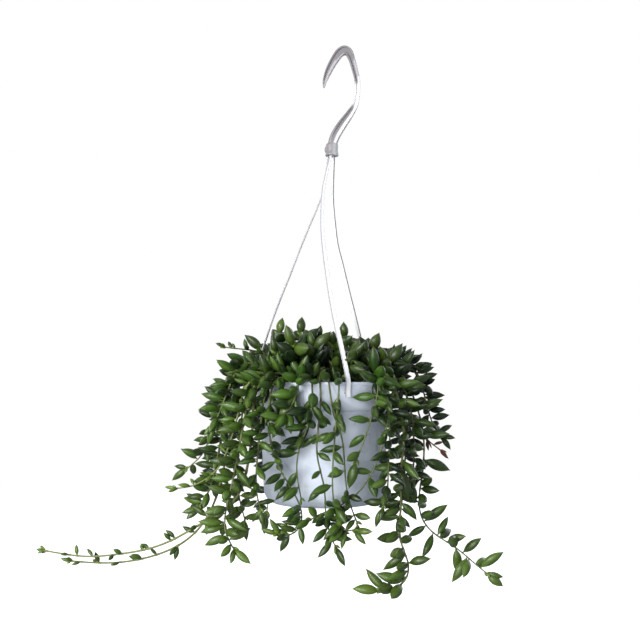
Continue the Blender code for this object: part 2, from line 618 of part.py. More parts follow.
def tape_points():
    points = []
    for azimuth, route in TAPES.values():
        points += even_route(tape_route(azimuth, route), 3 * MM)
    return points


def settle_stems(stems, roots, tapes):
    # Smooth routes from root to tip, eased apart until no two touch, nor a tape nor the pot.
    routes = []
    for stem, root in zip(stems, roots):
        start = root + Vector((0, 0, -SOIL_DROP - ROOT_DEPTH + ROOT_END_GAP))
        over = root + Vector((0, 0, -SOIL_DROP + 5 * MM))
        routes.append([start, root + Vector((0, 0, -SOIL_DROP + 0.5 * MM))]
                      + smooth_route([over] + stem[1][1:], STEM_STEP))
    tape_tree = point_tree(tapes)
    reach = TAPE_WIDTH_FOOT / 2 + STEM_RADIUS + TAPE_CLEARANCE
    for _ in range(ROUTE_ROUNDS):
        owners = [(owner, place) for owner, route in enumerate(routes) for place in range(len(route))]
        tree = point_tree([routes[owner][place] for owner, place in owners])
        for owner, route in enumerate(routes):
            for place in range(3, len(route)):
                point = route[place].copy()
                for near, index, gap in tree.find_range(point, STEM_CLEARANCE):
                    if owners[index][0] != owner and gap > 1e-7:
                        point += (point - near) / gap * (STEM_CLEARANCE - gap) * 0.55
                near, _, gap = tape_tree.find(point)
                if gap < reach:
                    point += (point - near).normalized() * (reach - gap)
                if place < len(route) - 1:
                    point = point.lerp((route[place - 1] + route[place + 1]) / 2, ROUTE_EASING)
                keep_off_pot(point, STEM_RADIUS + WALL_CLEARANCE)
                route[place] = point
    knots = [route[:2] + route[2:-1:STEM_KNOT_EVERY] + route[-1:] for route in routes]
    for _ in range(CHORD_ROUNDS):
        part_chords(knots)
        for route in knots:
            lift_over_pot(route)
    return knots


def shift_chord(route, place, share, move):
    # Moves a point on a straight run by moving the run's two ends; roots stay put.
    for end, weight in ((place, 1 - share), (place + 1, share)):
        if end > 2:
            route[end] = route[end] + move * weight


def part_chords(knots):
    # Straight runs of different stems that still come too close are moved apart.
    samples = [(owner, place, share) for owner, route in enumerate(knots)
               for place in range(1, len(route) - 1) for share in CHORD_SHARES]
    spots = [knots[owner][place].lerp(knots[owner][place + 1], share) for owner, place, share in samples]
    tree = point_tree(spots)
    apart = 2 * STEM_RADIUS + CHORD_CLEARANCE
    for index, (owner, place, share) in enumerate(samples):
        for near, other, gap in tree.find_range(spots[index], apart):
            if samples[other][0] != owner and gap > 1e-7:
                shift_chord(knots[owner], place, share, (spots[index] - near) / gap * (apart - gap) * 0.6)


def lift_over_pot(route):
    # Straight runs may still cut the pot, so their ends move out with them.
    for place in range(2, len(route) - 1):
        for share in CHORD_SHARES:
            wanted = route[place].lerp(route[place + 1], share)
            kept = wanted.copy()
            keep_off_pot(kept, STEM_RADIUS + 0.6 * MM)
            shift_chord(route, place, share, (kept - wanted) * 1.2)


# Leaves

def leaf_spheres(base, aim, length, radius):
    # Balls along a leaf that hold its outline, from past its stalk to its tip.
    shares = ((0.2, 0.64), (0.36, 0.96), (0.52, 0.98), (0.68, 0.89), (0.84, 0.45), (0.97, 0.09))
    return [(base + aim * length * place, radius * size) for place, size in shares]


def leaf_fits(spheres, owner, tree, sizes, widest, grown):
    for centre, size in spheres:
        reach = size + widest + LEAF_GAP
        radius = math.hypot(centre.x, centre.y)
        if centre.z < size + LEAF_GAP and radius + size > BAND_RADIUS - WALL - 1.6 * MM:
            if radius - size < outer_radius(centre.z) + 0.5 * MM:
                return False
        if radius < RIM_RADIUS and centre.z - size < -SOIL_DROP + 0.6 * MM:
            return False
        for _, index, gap in tree.find_range(centre, reach):
            other, other_size = sizes[index]
            if other != owner and gap < size + other_size + LEAF_GAP:
                return False
    for centre, size in spheres[1:]:
        for other, other_size in grown:
            if (other - centre).length < (size + other_size) * LEAF_CROWDING:
                return False
    return True


def place_leaves(stems, routes, tapes):
    # Each stem's leaves as base, aim, length and radius, none through another stem, leaf, tape or the pot.
    points = list(tapes)
    sizes = [(-1, TAPE_WIDTH_FOOT / 2)] * len(tapes)
    for owner, route in enumerate(routes):
        for point in even_route(route, 2 * MM):
            points.append(point)
            sizes.append((owner, STEM_RADIUS * 1.3))
    placed = []
    for owner, (stem, route) in enumerate(zip(stems, routes)):
        name, _, lean, first, last, spacing = stem
        tree = point_tree(points)
        widest = max(size for _, size in sizes)
        draw = random.Random(name)
        pull = LEAN_OF_TRAILS if name.startswith("trail") else LEAN_OF_SHOOTS
        leaves = []
        grown = []
        lengths = [0.0]
        for start, stop in zip(route, route[1:]):
            lengths.append(lengths[-1] + (stop - start).length)
        along = SOIL_DROP + ROOT_DEPTH if name.startswith("trail") else SOIL_DROP
        turn = draw.uniform(0, math.tau)
        spots = []
        while along < lengths[-1] - 3 * MM:
            spots.append(along)
            along += spacing * LEAF_SPACING * MM * draw.uniform(0.8, 1.2)
        spots.append(lengths[-1] - 0.8 * MM)
        for spot in spots:
            place = max(index for index, reached in enumerate(lengths[:-1]) if reached <= spot)
            start, stop = route[place], route[place + 1]
            base = start.lerp(stop, (spot - lengths[place]) / (stop - start).length)
            tangent = (stop - start).normalized()
            side = tangent.orthogonal().normalized()
            other = tangent.cross(side)
            share = spot / lengths[-1]
            length = (first + (last - first) * share) * MM * draw.uniform(0.92, 1.22)
            radius = length * draw.uniform(*LEAF_FATNESS)
            turn += GOLDEN_ANGLE
            is_tip = spot == spots[-1]
            for attempt in range(LEAF_TRIES):
                swing = turn + (attempt + 1) // 2 * (-1) ** attempt * SWING_STEP
                spread = side * math.cos(swing) + other * math.sin(swing)
                aim = (lean * pull + spread * 0.8 + tangent * 0.25).normalized()
                if is_tip:
                    aim = (tangent + spread * 0.15 * attempt + lean * 0.1 * attempt).normalized()
                shrink = 1.0 if attempt < FIRM_TRIES else SHORT_LEAF
                if abs(aim.dot(tangent)) > END_ON and not is_tip:
                    continue
                spheres = leaf_spheres(base, aim, length * shrink, radius * shrink)
                if leaf_fits(spheres, owner, tree, sizes, widest, grown):
                    leaves.append((base, aim, length * shrink, radius * shrink))
                    grown += spheres[1:]
                    break
        for leaf in leaves:
            for centre, size in leaf_spheres(*leaf):
                points.append(centre)
                sizes.append((owner, size))
        placed.append(leaves)
    return placed


def leaf_mesh(base, aim, length, radius):
    bm = bmesh.new()
    side = aim.orthogonal().normalized()
    other = aim.cross(side)
    rings = []
    for place, size in LEAF_RINGS:
        centre = base + aim * length * place
        ring = []
        for corner in range(LEAF_SIDES):
            turn = math.tau * corner / LEAF_SIDES
            out = side * math.cos(turn) + other * math.sin(turn)
            ring.append(bm.verts.new(centre + out * radius * size))
        rings.append(ring)
    fan(bm, rings[0], bm.verts.new(base))
    bridge(bm, rings[0], rings[1])
    fan(bm, rings[1], bm.verts.new(base + aim * length))
    return bm


def stem_sections(route):
    sections = []
    side = Vector((1, 0, 0))
    for index, point in enumerate(route):
        along = (route[min(index + 1, len(route) - 1)] - route[max(index - 1, 0)]).normalized()
        side = (side - along * side.dot(along)).normalized()
        other = along.cross(side)
        taper = 1.0 - STEM_TAPER * index / len(route)
        sections.append([point + (side * math.cos(turn) + other * math.sin(turn)) * STEM_RADIUS * taper
                         for turn in (math.tau * corner / STEM_SIDES for corner in range(STEM_SIDES))])
    return sections


def add_stem(name, route, leaves, parent, finish):
    stem = object_from(swept(stem_sections(route)), name, parent, finish, smooth=False)
    blades = [object_from(leaf_mesh(*leaf), "leaf", smooth=False) for leaf in leaves]
    combine(stem, blades, "UNION")
    return stem


def build():
    for old in list(bpy.data.objects):
        bpy.data.objects.remove(old)
    finishes = {"white": material("white_plastic", COLOURS["white"], 0.35),
                "soil": material("potting_soil", COLOURS["soil"], 0.95),
                "leaf": material("fleshy_leaf", COLOURS["leaf"], 0.4),
                "withered": material("withered_leaf", COLOURS["withered"], 0.8)}
    rim = bpy.data.objects.new("rim_centre", None)
    rim.location = (POT_AXIS_X, 0, -RIM_BELOW_SEAT)
    bpy.context.scene.collection.objects.link(rim)
    stems = all_stems()
    roots = spread_roots(stems)
    tapes = tape_points()
    routes = settle_stems(stems, roots, tapes)
    leaves = place_leaves(stems, routes, tapes)
    add_pot(rim, finishes["white"])
    add_soil(rim, finishes["soil"], roots)
    add_hook(rim, finishes["white"])
    for name, (azimuth, points) in TAPES.items():
        add_tape(name, azimuth, points, rim, finishes["white"])
    for stem, route, blades in zip(stems, routes, leaves):
        finish = finishes["withered"] if "withered" in stem[0] else finishes["leaf"]
        add_stem(stem[0], route, blades, rim, finish)
    print("leaves", sum(len(group) for group in leaves), "stems", len(stems))


build()
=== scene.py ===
# Looks of a hanging pot with a trailing string of beads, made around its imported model.
# The stems and leaves are grown by the rule that shaped the solids, with the same seeds, and more
# leaves then fill the gaps. Sizes and places are written in millimetres, from the centre of the
# pot's rim, unless their dictionary says metres. The meshes are in metres.

import json
import math
import random

import bmesh
import bpy
from mathutils import Matrix, Vector, kdtree, noise

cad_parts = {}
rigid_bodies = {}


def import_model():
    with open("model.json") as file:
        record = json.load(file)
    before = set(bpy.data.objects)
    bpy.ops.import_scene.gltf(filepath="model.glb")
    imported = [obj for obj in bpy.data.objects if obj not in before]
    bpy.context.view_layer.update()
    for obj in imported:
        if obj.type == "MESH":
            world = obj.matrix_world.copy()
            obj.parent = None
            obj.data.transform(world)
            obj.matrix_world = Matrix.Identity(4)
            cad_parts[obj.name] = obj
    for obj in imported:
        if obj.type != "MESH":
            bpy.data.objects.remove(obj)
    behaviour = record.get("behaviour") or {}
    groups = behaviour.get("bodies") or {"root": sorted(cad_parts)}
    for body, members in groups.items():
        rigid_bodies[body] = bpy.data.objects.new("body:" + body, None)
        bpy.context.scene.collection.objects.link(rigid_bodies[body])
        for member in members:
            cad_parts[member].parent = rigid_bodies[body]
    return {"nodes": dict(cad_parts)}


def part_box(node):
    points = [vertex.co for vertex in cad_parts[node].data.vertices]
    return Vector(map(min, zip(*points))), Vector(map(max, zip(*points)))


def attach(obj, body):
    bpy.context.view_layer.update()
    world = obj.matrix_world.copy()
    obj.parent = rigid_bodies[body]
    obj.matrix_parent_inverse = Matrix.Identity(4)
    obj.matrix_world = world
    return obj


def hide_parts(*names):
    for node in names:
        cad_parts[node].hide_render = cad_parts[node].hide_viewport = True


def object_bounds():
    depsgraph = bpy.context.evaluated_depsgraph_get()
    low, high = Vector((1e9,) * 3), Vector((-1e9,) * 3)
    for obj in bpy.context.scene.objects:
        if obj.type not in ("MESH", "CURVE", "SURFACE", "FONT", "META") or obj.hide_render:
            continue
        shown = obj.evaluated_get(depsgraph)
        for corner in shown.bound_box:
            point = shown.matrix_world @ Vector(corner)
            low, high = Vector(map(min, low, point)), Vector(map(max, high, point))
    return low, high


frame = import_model()
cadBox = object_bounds()
mm = 0.001
sharpAngle = 35     # degrees; edges sharper than this stay crisp
routeTicks = 12     # points laid on a smooth curve between two given ones
potLow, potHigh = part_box("pot")
rimCentre = Vector(((potLow.x + potHigh.x) / 2, (potLow.y + potHigh.y) / 2, potHigh.z))
print("frame loaded:", len(frame["nodes"]), "nodes")


# Small helpers for meshes

def newObject(name, data, materials=()):
    made = bpy.data.objects.new(name, data)
    bpy.context.scene.collection.objects.link(made)
    for material in materials:
        data.materials.append(material)
    return made


def meshFromBmesh(name, bm, sharp=sharpAngle):
    bmesh.ops.recalc_face_normals(bm, faces=bm.faces)
    mesh = bpy.data.meshes.new(name)
    bm.to_mesh(mesh)
    bm.free()
    mesh.shade_smooth()
    mesh.set_sharp_from_angle(angle=math.radians(sharp))
    return mesh


def addRing(bm, points):
    return [bm.verts.new(point) for point in points]


def bridgeRings(bm, lower, upper):
    count = len(lower)
    for index in range(count):
        after = (index + 1) % count
        bm.faces.new((lower[index], lower[after], upper[after], upper[index]))


def capRing(bm, ring, tip):
    for index in range(len(ring)):
        bm.faces.new((ring[index], ring[(index + 1) % len(ring)], tip))


def sweepSections(sections):
    # a closed body through sections of equal point count
    bm = bmesh.new()
    rings = [addRing(bm, section) for section in sections]
    for lower, upper in zip(rings, rings[1:]):
        bridgeRings(bm, lower, upper)
    for section, ring in ((sections[0], rings[0]), (sections[-1], rings[-1])):
        capRing(bm, ring, bm.verts.new(middleOf(section)))
    return bm


def turnProfile(profile, sides, centre=Vector()):
    # a closed turned body; the profile starts and ends on the axis
    bm = bmesh.new()
    first = bm.verts.new(centre + Vector((0, 0, profile[0][1])))
    turns = [math.tau * index / sides for index in range(sides)]
    rings = []
    for radius, height in profile[1:-1]:
        rings.append(addRing(bm, [centre + Vector((radius * math.cos(turn), radius * math.sin(turn), height))
                                  for turn in turns]))
    last = bm.verts.new(centre + Vector((0, 0, profile[-1][1])))
    capRing(bm, rings[0], first)
    for lower, upper in zip(rings, rings[1:]):
        bridgeRings(bm, lower, upper)
    capRing(bm, rings[-1], last)
    return bm


def boxBody(size, centre, outward, rounding=0.0):
    # a block whose first side points outwards
    spin = math.atan2(outward.y, outward.x)
    bm = bmesh.new()
    bmesh.ops.create_cube(bm, size=1.0)
    bmesh.ops.scale(bm, vec=size, verts=bm.verts)
    if rounding:
        bmesh.ops.bevel(bm, geom=bm.edges, offset=rounding, segments=2, profile=0.5, affect="EDGES")
    turn = Vector((1, 0, 0)).rotation_difference(Vector((math.cos(spin), math.sin(spin), 0))).to_matrix()
    bmesh.ops.rotate(bm, cent=(0, 0, 0), verts=bm.verts, matrix=turn)
    bmesh.ops.translate(bm, vec=centre, verts=bm.verts)
    return bm


def combineBodies(target, bodies, operation):
    # one Boolean on a collection, applied, with the collection's objects then removed
    group = bpy.data.collections.new("bodies")
    bpy.context.scene.collection.children.link(group)
    for body in bodies:
        piece = bpy.data.objects.new("body", meshFromBmesh("body", body))
        group.objects.link(piece)
    step = target.modifiers.new("combine", "BOOLEAN")
    step.operation = operation
    step.operand_type = "COLLECTION"
    step.collection = group
    step.solver = "EXACT"
    bpy.context.view_layer.update()
    mesh = bpy.data.meshes.new_from_object(target.evaluated_get(bpy.context.evaluated_depsgraph_get()))
    target.modifiers.remove(step)
    mesh.set_sharp_from_angle(angle=math.radians(sharpAngle))
    target.data = mesh
    for piece in list(group.objects):
        bpy.data.objects.remove(piece)
    bpy.data.collections.remove(group)


def arcPoints(centreRadius, centreHeight, radius, startDegrees, endDegrees, count):
    # points of a profile on an arc; 0 degrees points outwards and 90 up
    points = []
    for index in range(count + 1):
        angle = math.radians(startDegrees + (endDegrees - startDegrees) * index / count)
        points.append((centreRadius + radius * math.cos(angle), centreHeight + radius * math.sin(angle)))
    return points


def directionAt(azimuth):
    # from the pot's axis; 0 degrees is the front and 90 is +X
    turn = math.radians(azimuth)
    return Vector((math.sin(turn), -math.cos(turn), 0))


def smoothRoute(points, step):
    # points about a step apart on a smooth curve through the given ones
    ends = [points[0] * 2 - points[1]] + list(points) + [points[-1] * 2 - points[-2]]
    dense = [points[0]]
    for before, start, stop, after in zip(ends, ends[1:], ends[2:], ends[3:]):
        for tick in range(1, routeTicks + 1):
            dense.append(curvePoint(before, start, stop, after, tick / routeTicks))
    return evenRoute(dense, step)


def curvePoint(before, start, stop, after, t):
    return 0.5 * (2 * start + (stop - before) * t
                  + (2 * before - 5 * start + 4 * stop - after) * t * t
                  + (3 * start - before - 3 * stop + after) * t ** 3)


def routeLengths(route):
    # how far along the route each of its points is
    lengths = [0.0]
    for start, stop in zip(route, route[1:]):
        lengths.append(lengths[-1] + (stop - start).length)
    return lengths


def tangentAt(route, index):
    return (route[min(index + 1, len(route) - 1)] - route[max(index - 1, 0)]).normalized()


def middleOf(points):
    return sum(points, Vector()) / len(points)


def evenRoute(points, step):
    # the same route with its points about a step apart
    lengths = routeLengths(points)
    count = max(2, round(lengths[-1] / step))
    route = []
    place = 0
    for index in range(count + 1):
        wanted = lengths[-1] * index / count
        while place < len(points) - 2 and lengths[place + 1] < wanted:
            place += 1
        share = (wanted - lengths[place]) / max(lengths[place + 1] - lengths[place], 1e-9)
        route.append(points[place].lerp(points[place + 1], share))
    return route


def pointTree(points):
    tree = kdtree.KDTree(len(points))
    for index, point in enumerate(points):
        tree.insert(point, index)
    tree.balance()
    return tree


def clamped(share):
    return min(1.0, max(0.0, share))


def eased(value, low, high):
    # 0 below low, 1 above high and smooth between
    share = clamped((value - low) / (high - low))
    return share * share * (3 - 2 * share)


def paintShadeOnMesh(piece, shadeAt):
    # painted shade: how far the plastic is painted grey at each vertex, where shade would fall
    marks = piece.data.attributes.new("paintedShadeLevel", "FLOAT", "POINT")
    marks.data.foreach_set("value", [shadeAt(vertex.co) for vertex in piece.data.vertices])


def placePiece(piece, nodes):
    # moves the finished mesh from the rim's centre to its place and hands it to the frame
    piece.data.transform(Matrix.Translation(rimCentre))
    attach(piece, "root")
    if nodes:
        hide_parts(*nodes)


# Small helpers for shader trees

colourSocket = "NodeSocketColor"
valueSocket = "NodeSocketFloat"


def addNode(tree, kind, **settings):
    node = tree.nodes.new(kind)
    for key, value in settings.items():
        setattr(node, key, value)
    return node


def feed(tree, socket, value):
    if isinstance(value, bpy.types.NodeSocket):
        tree.links.new(value, socket)
    else:
        socket.default_value = value


def mathOf(tree, operation, first, second=0.0, clamp=False):
    node = addNode(tree, "ShaderNodeMath", operation=operation, use_clamp=clamp)
    feed(tree, node.inputs[0], first)
    feed(tree, node.inputs[1], second)
    return node.outputs[0]


def times(tree, first, *others):
    for other in others:
        first = mathOf(tree, "MULTIPLY", first, other)
    return first


def plus(tree, first, second, clamp=False):
    return mathOf(tree, "ADD", first, second, clamp)


def mixColour(tree, factor, first, second, blend="MIX"):
    # the node's first inputs are for numbers and vectors, and 6 and 7 are its colours
    node = addNode(tree, "ShaderNodeMix", data_type="RGBA", blend_type=blend)
    for label, given in (("Factor", factor), (6, first), (7, second)):
        feed(tree, node.inputs[label], given)
    return node.outputs[2]


def rangeOf(tree, value, low, high, toLow=0.0, toHigh=1.0):
    node = addNode(tree, "ShaderNodeMapRange", interpolation_type="SMOOTHSTEP")
    for label, given in (("Value", value), ("From Min", low), ("From Max", high),
                         ("To Min", toLow), ("To Max", toHigh)):
        feed(tree, node.inputs[label], given)
    return node.outputs[0]


def noiseOf(tree, vector, scale, detail=3.0, roughness=0.5, distortion=0.0):
    node = addNode(tree, "ShaderNodeTexNoise")
    for label, given in (("Vector", vector), ("Scale", scale), ("Detail", detail),
                         ("Roughness", roughness), ("Distortion", distortion)):
        feed(tree, node.inputs[label], given)
    return node.outputs[0]


def newGroup(name, inputs):
    # a group, its inputs, which are colours or numbers as their values are, and the place on the piece
    tree = bpy.data.node_groups.new(name, "ShaderNodeTree")
    for label, value in inputs.items():
        kind = colourSocket if isinstance(value, tuple) else valueSocket
        tree.interface.new_socket(name=label, in_out="INPUT", socket_type=kind).default_value = value
    for label, kind in (("Colour", colourSocket), ("Roughness", valueSocket), ("Height", valueSocket)):
        tree.interface.new_socket(name=label, in_out="OUTPUT", socket_type=kind)
    given = addNode(tree, "NodeGroupInput").outputs
    return tree, given, addNode(tree, "ShaderNodeTexCoord").outputs["Object"]


def closeGroup(tree, *results):
    # hands out the colour, the roughness and the height
    for socket, result in zip(addNode(tree, "NodeGroupOutput").inputs, results):
        feed(tree, socket, result)
    return tree


def newMaterial(name, group, values, bumpStrength, bumpDistance, **constants):
    # one Principled surface fed by one group; what is the same all over is set on the sockets
    material = bpy.data.materials.new(name)
    material.use_nodes = True
    tree = material.node_tree
    surface = tree.nodes["Principled BSDF"]
    pattern = addNode(tree, "ShaderNodeGroup", node_tree=group)
    for label, value in values.items():
        feed(tree, pattern.inputs[label], value)
    bump = addNode(tree, "ShaderNodeBump")
    for socket, value in ((surface.inputs["Base Color"], pattern.outputs["Colour"]),
                          (surface.inputs["Roughness"], pattern.outputs["Roughness"]),
                          (surface.inputs["Normal"], bump.outputs["Normal"]),
                          (bump.inputs["Height"], pattern.outputs["Height"]),
                          (bump.inputs["Strength"], bumpStrength),
                          (bump.inputs["Distance"], bumpDistance)):
        feed(tree, socket, value)
    for label, value in constants.items():
        surface.inputs[label.replace("_", " ")].default_value = value
    return material


# how fine each pattern in the plastic is, and where its stains are
plasticLook = {
    "clouds": 34,
    "flow": 150,
    "flowStretch": 0.16,             # down the wall
    "creaseShadeScale": 15,
    "creaseShadeWidth": 0.011,
    "blotches": 85,
    "specks": 900,
    "grain": 1100,
    "stainHeights": (-0.475, -0.41),   # metres; stains thin out from the first to the second
}


def moulded():
    # white moulded plastic: soft clouds in the tone, flow lines down the wall, painted shade in creases,
    # stains, and painted shade where the mesh asks for it
    tree, given, place = newGroup("mouldedPlastic", {
        "Plastic": (0.75, 0.81, 0.92, 1), "Shade": (0.58, 0.64, 0.76, 1), "Stain": (0.5, 0.55, 0.42, 1),
        "PaintedShadeColour": (0.24, 0.225, 0.235, 1), "CreaseShadeColour": (0.3, 0.36, 0.38, 1), "PaintedShadeAmount": 0.0, "Clouds": 0.4,
        "Flow": 0.2, "Stains": 0.2, "CreaseShadeAmount": 0.0, "Gloss": 0.32})
    look = plasticLook
    stretch = addNode(tree, "ShaderNodeMapping")
    stretch.inputs["Scale"].default_value = (1, 1, look["flowStretch"])
    tree.links.new(place, stretch.inputs["Vector"])
    clouds = rangeOf(tree, noiseOf(tree, place, look["clouds"], 4, 0.55, 0.6), 0.35, 0.7)
    flow = rangeOf(tree, noiseOf(tree, stretch.outputs[0], look["flow"], 3, 0.6, 1.2), 0.4, 0.7)
    tone = mixColour(tree, times(tree, clouds, given["Clouds"]), given["Plastic"], given["Shade"])
    tone = mixColour(tree, times(tree, flow, given["Flow"]), tone, given["Shade"])
    # painted shade in thin wavering creases that come and go
    wander = noiseOf(tree, place, look["creaseShadeScale"], 1, 0.5, 1.2)
    fromCrease = mathOf(tree, "ABSOLUTE", mathOf(tree, "SUBTRACT", wander, 0.5))
    creaseShade = rangeOf(tree, fromCrease, 0.0, look["creaseShadeWidth"], 1.0, 0.0)
    tone = mixColour(tree, times(tree, creaseShade, clouds, given["CreaseShadeAmount"]), tone, given["CreaseShadeColour"])
    # stains gather low down and in blotches
    height = addNode(tree, "ShaderNodeSeparateXYZ")
    tree.links.new(place, height.inputs[0])
    low = rangeOf(tree, height.outputs["Z"], *look["stainHeights"], 1.0, 0.12)
    blotch = rangeOf(tree, noiseOf(tree, place, look["blotches"], 5, 0.6, 0.4), 0.5, 0.78)
    stained = times(tree, low, blotch, given["Stains"])
    tone = mixColour(tree, stained, tone, given["Stain"])
    specks = rangeOf(tree, noiseOf(tree, place, look["specks"], 2, 0.5), 0.7, 0.78, 0.0, 0.35)
    tone = mixColour(tree, times(tree, specks, given["Stains"]), tone, given["Stain"])
    # painted shade: grey where the mesh's attribute puts the plastic in shade
    tone = mixColour(tree, given["PaintedShadeAmount"], tone, given["PaintedShadeColour"])
    rough = plus(tree, given["Gloss"], times(tree, clouds, 0.12))
    grain = noiseOf(tree, place, look["grain"], 2, 0.5)
    return closeGroup(tree, tone, plus(tree, rough, times(tree, stained, 0.3)),
                      plus(tree, times(tree, flow, 0.5), times(tree, grain, 0.04)))


# how fine each pattern in the leaves' skin is, and its bloom's colour
skinLook = {
    "mottle": 210,
    "fine": 1400,
    "streaks": 3.0,
    "streakAround": 5.0,      # the streaks' place follows the leaf, so they run along it
    "streakAlong": 1.3,
    "streakShift": 37.0,      # another place for each tone, so that no two leaves are alike
    "bloom": (0.24, 0.32, 0.2, 1),
}


def fleshy():
    # fleshy skin: deeper along the sides, pale at the stalk, a clear line down the leaf, a dark point
    tree, given, place = newGroup("fleshySkin", {
        "Along": 0.5, "Around": 0.0, "Tone": 0.5, "Youth": 0.0, "Deep": (0.0035, 0.013, 0.0025, 1),
        "Fresh": (0.042, 0.108, 0.007, 1), "Young": (0.14, 0.22, 0.028, 1), "Stalk": (0.095, 0.165, 0.02, 1),
        "Tip": (0.1, 0.06, 0.03, 1), "Line": 0.34, "Edge": 0.36, "Bloom": 0.06, "Gloss": 0.29})
    look = skinLook
    mottle = noiseOf(tree, place, look["mottle"], 3, 0.55, 0.3)
    fine = noiseOf(tree, place, look["fine"], 2, 0.5)
    mottled = times(tree, mathOf(tree, "SUBTRACT", mottle, 0.5), 0.7)
    tone = plus(tree, given["Tone"], mottled, clamp=True)
    skin = mixColour(tree, tone, given["Deep"], given["Fresh"])
    skin = mixColour(tree, given["Youth"], skin, given["Young"])
    # pale towards the stalk
    stalk = rangeOf(tree, given["Along"], 0.02, 0.3, 0.6, 0.0)
    skin = mixColour(tree, stalk, skin, given["Stalk"])
    # lengthwise streaks from the place around the leaf and along it
    streakPlace = addNode(tree, "ShaderNodeCombineXYZ")
    for axis, (label, scale) in enumerate((("Around", "streakAround"), ("Along", "streakAlong"),
                                           ("Tone", "streakShift"))):
        tree.links.new(times(tree, given[label], look[scale]), streakPlace.inputs[axis])
    streaks = noiseOf(tree, streakPlace.outputs[0], look["streaks"], 3, 0.6)
    skin = mixColour(tree, rangeOf(tree, streaks, 0.5, 0.75, 0.0, 0.4), skin, given["Deep"])
    # the clear line down the upper side
    glow = plus(tree, times(tree, tone, 0.85), 0.15)
    line = times(tree, rangeOf(tree, given["Around"], 0.9, 0.995), rangeOf(tree, given["Along"], 0.08, 0.3),
                 rangeOf(tree, given["Along"], 0.8, 0.96, 1.0, 0.0), given["Line"], glow)
    skin = mixColour(tree, line, skin, given["Young"])
    # painted light: paler edges, where light would come through the leaf
    edge = rangeOf(tree, mathOf(tree, "ABSOLUTE", given["Around"]), 0.0, 0.34, 1.0, 0.0)
    edge = times(tree, edge, rangeOf(tree, given["Along"], 0.1, 0.35), given["Edge"], glow)
    skin = mixColour(tree, edge, skin, given["Young"])
    # a thin waxy bloom in patches
    bloom = times(tree, rangeOf(tree, mottle, 0.42, 0.72), given["Bloom"], glow)
    skin = mixColour(tree, bloom, skin, look["bloom"])
    tip = rangeOf(tree, given["Along"], 0.93, 0.985)
    skin = mixColour(tree, tip, skin, given["Tip"])
    rough = plus(tree, given["Gloss"], times(tree, mottle, 0.18))
    return closeGroup(tree, skin, plus(tree, rough, times(tree, bloom, 0.6)),
                      plus(tree, times(tree, streaks, 0.7), times(tree, fine, 0.08)))


soilLook = {"clumps": 260, "fibres": 1500}     # how fine each pattern in the potting mix is


def crumbly():
    # potting mix: dark peat with fibres, bark and a few pale grains, told apart by the crumb's own kind
    tree, given, place = newGroup("pottingMix", {
        "Kind": 0.0, "Peat": (0.022, 0.014, 0.009, 1), "Dry": (0.085, 0.055, 0.034, 1),
        "Bark": (0.13, 0.06, 0.03, 1), "Pale": (0.6, 0.57, 0.5, 1)})
    clumps = noiseOf(tree, place, soilLook["clumps"], 6, 0.7, 0.5)
    fibres = noiseOf(tree, place, soilLook["fibres"], 3, 0.65, 1.5)
    soil = mixColour(tree, rangeOf(tree, clumps, 0.35, 0.68), given["Peat"], given["Dry"])
    soil = mixColour(tree, rangeOf(tree, fibres, 0.6, 0.75, 0.0, 0.5), soil, given["Bark"])
    soil = mixColour(tree, rangeOf(tree, given["Kind"], 0.45, 0.55), soil, given["Bark"])
    soil = mixColour(tree, rangeOf(tree, given["Kind"], 0.9, 0.95), soil, given["Pale"])
    return closeGroup(tree, mixColour(tree, 0.35, soil, clumps, "MULTIPLY"),
                      rangeOf(tree, clumps, 0.2, 0.8, 0.82, 1.0),
                      plus(tree, clumps, times(tree, fibres, 0.5)))


plasticPattern = moulded()
skinPattern = fleshy()


def readAttributes(material, attributes):
    # feeds the material's group from attributes of the mesh
    tree = material.node_tree
    pattern = next(node for node in tree.nodes if node.type == "GROUP")
    for label, attribute in attributes.items():
        source = addNode(tree, "ShaderNodeAttribute", attribute_name=attribute)
        tree.links.new(source.outputs["Fac"], pattern.inputs[label])
    return material


def leafMaterial(name, attributes, colours, **constants):
    return readAttributes(newMaterial(name, skinPattern, colours, 0.35, 0.0006, **constants), attributes)


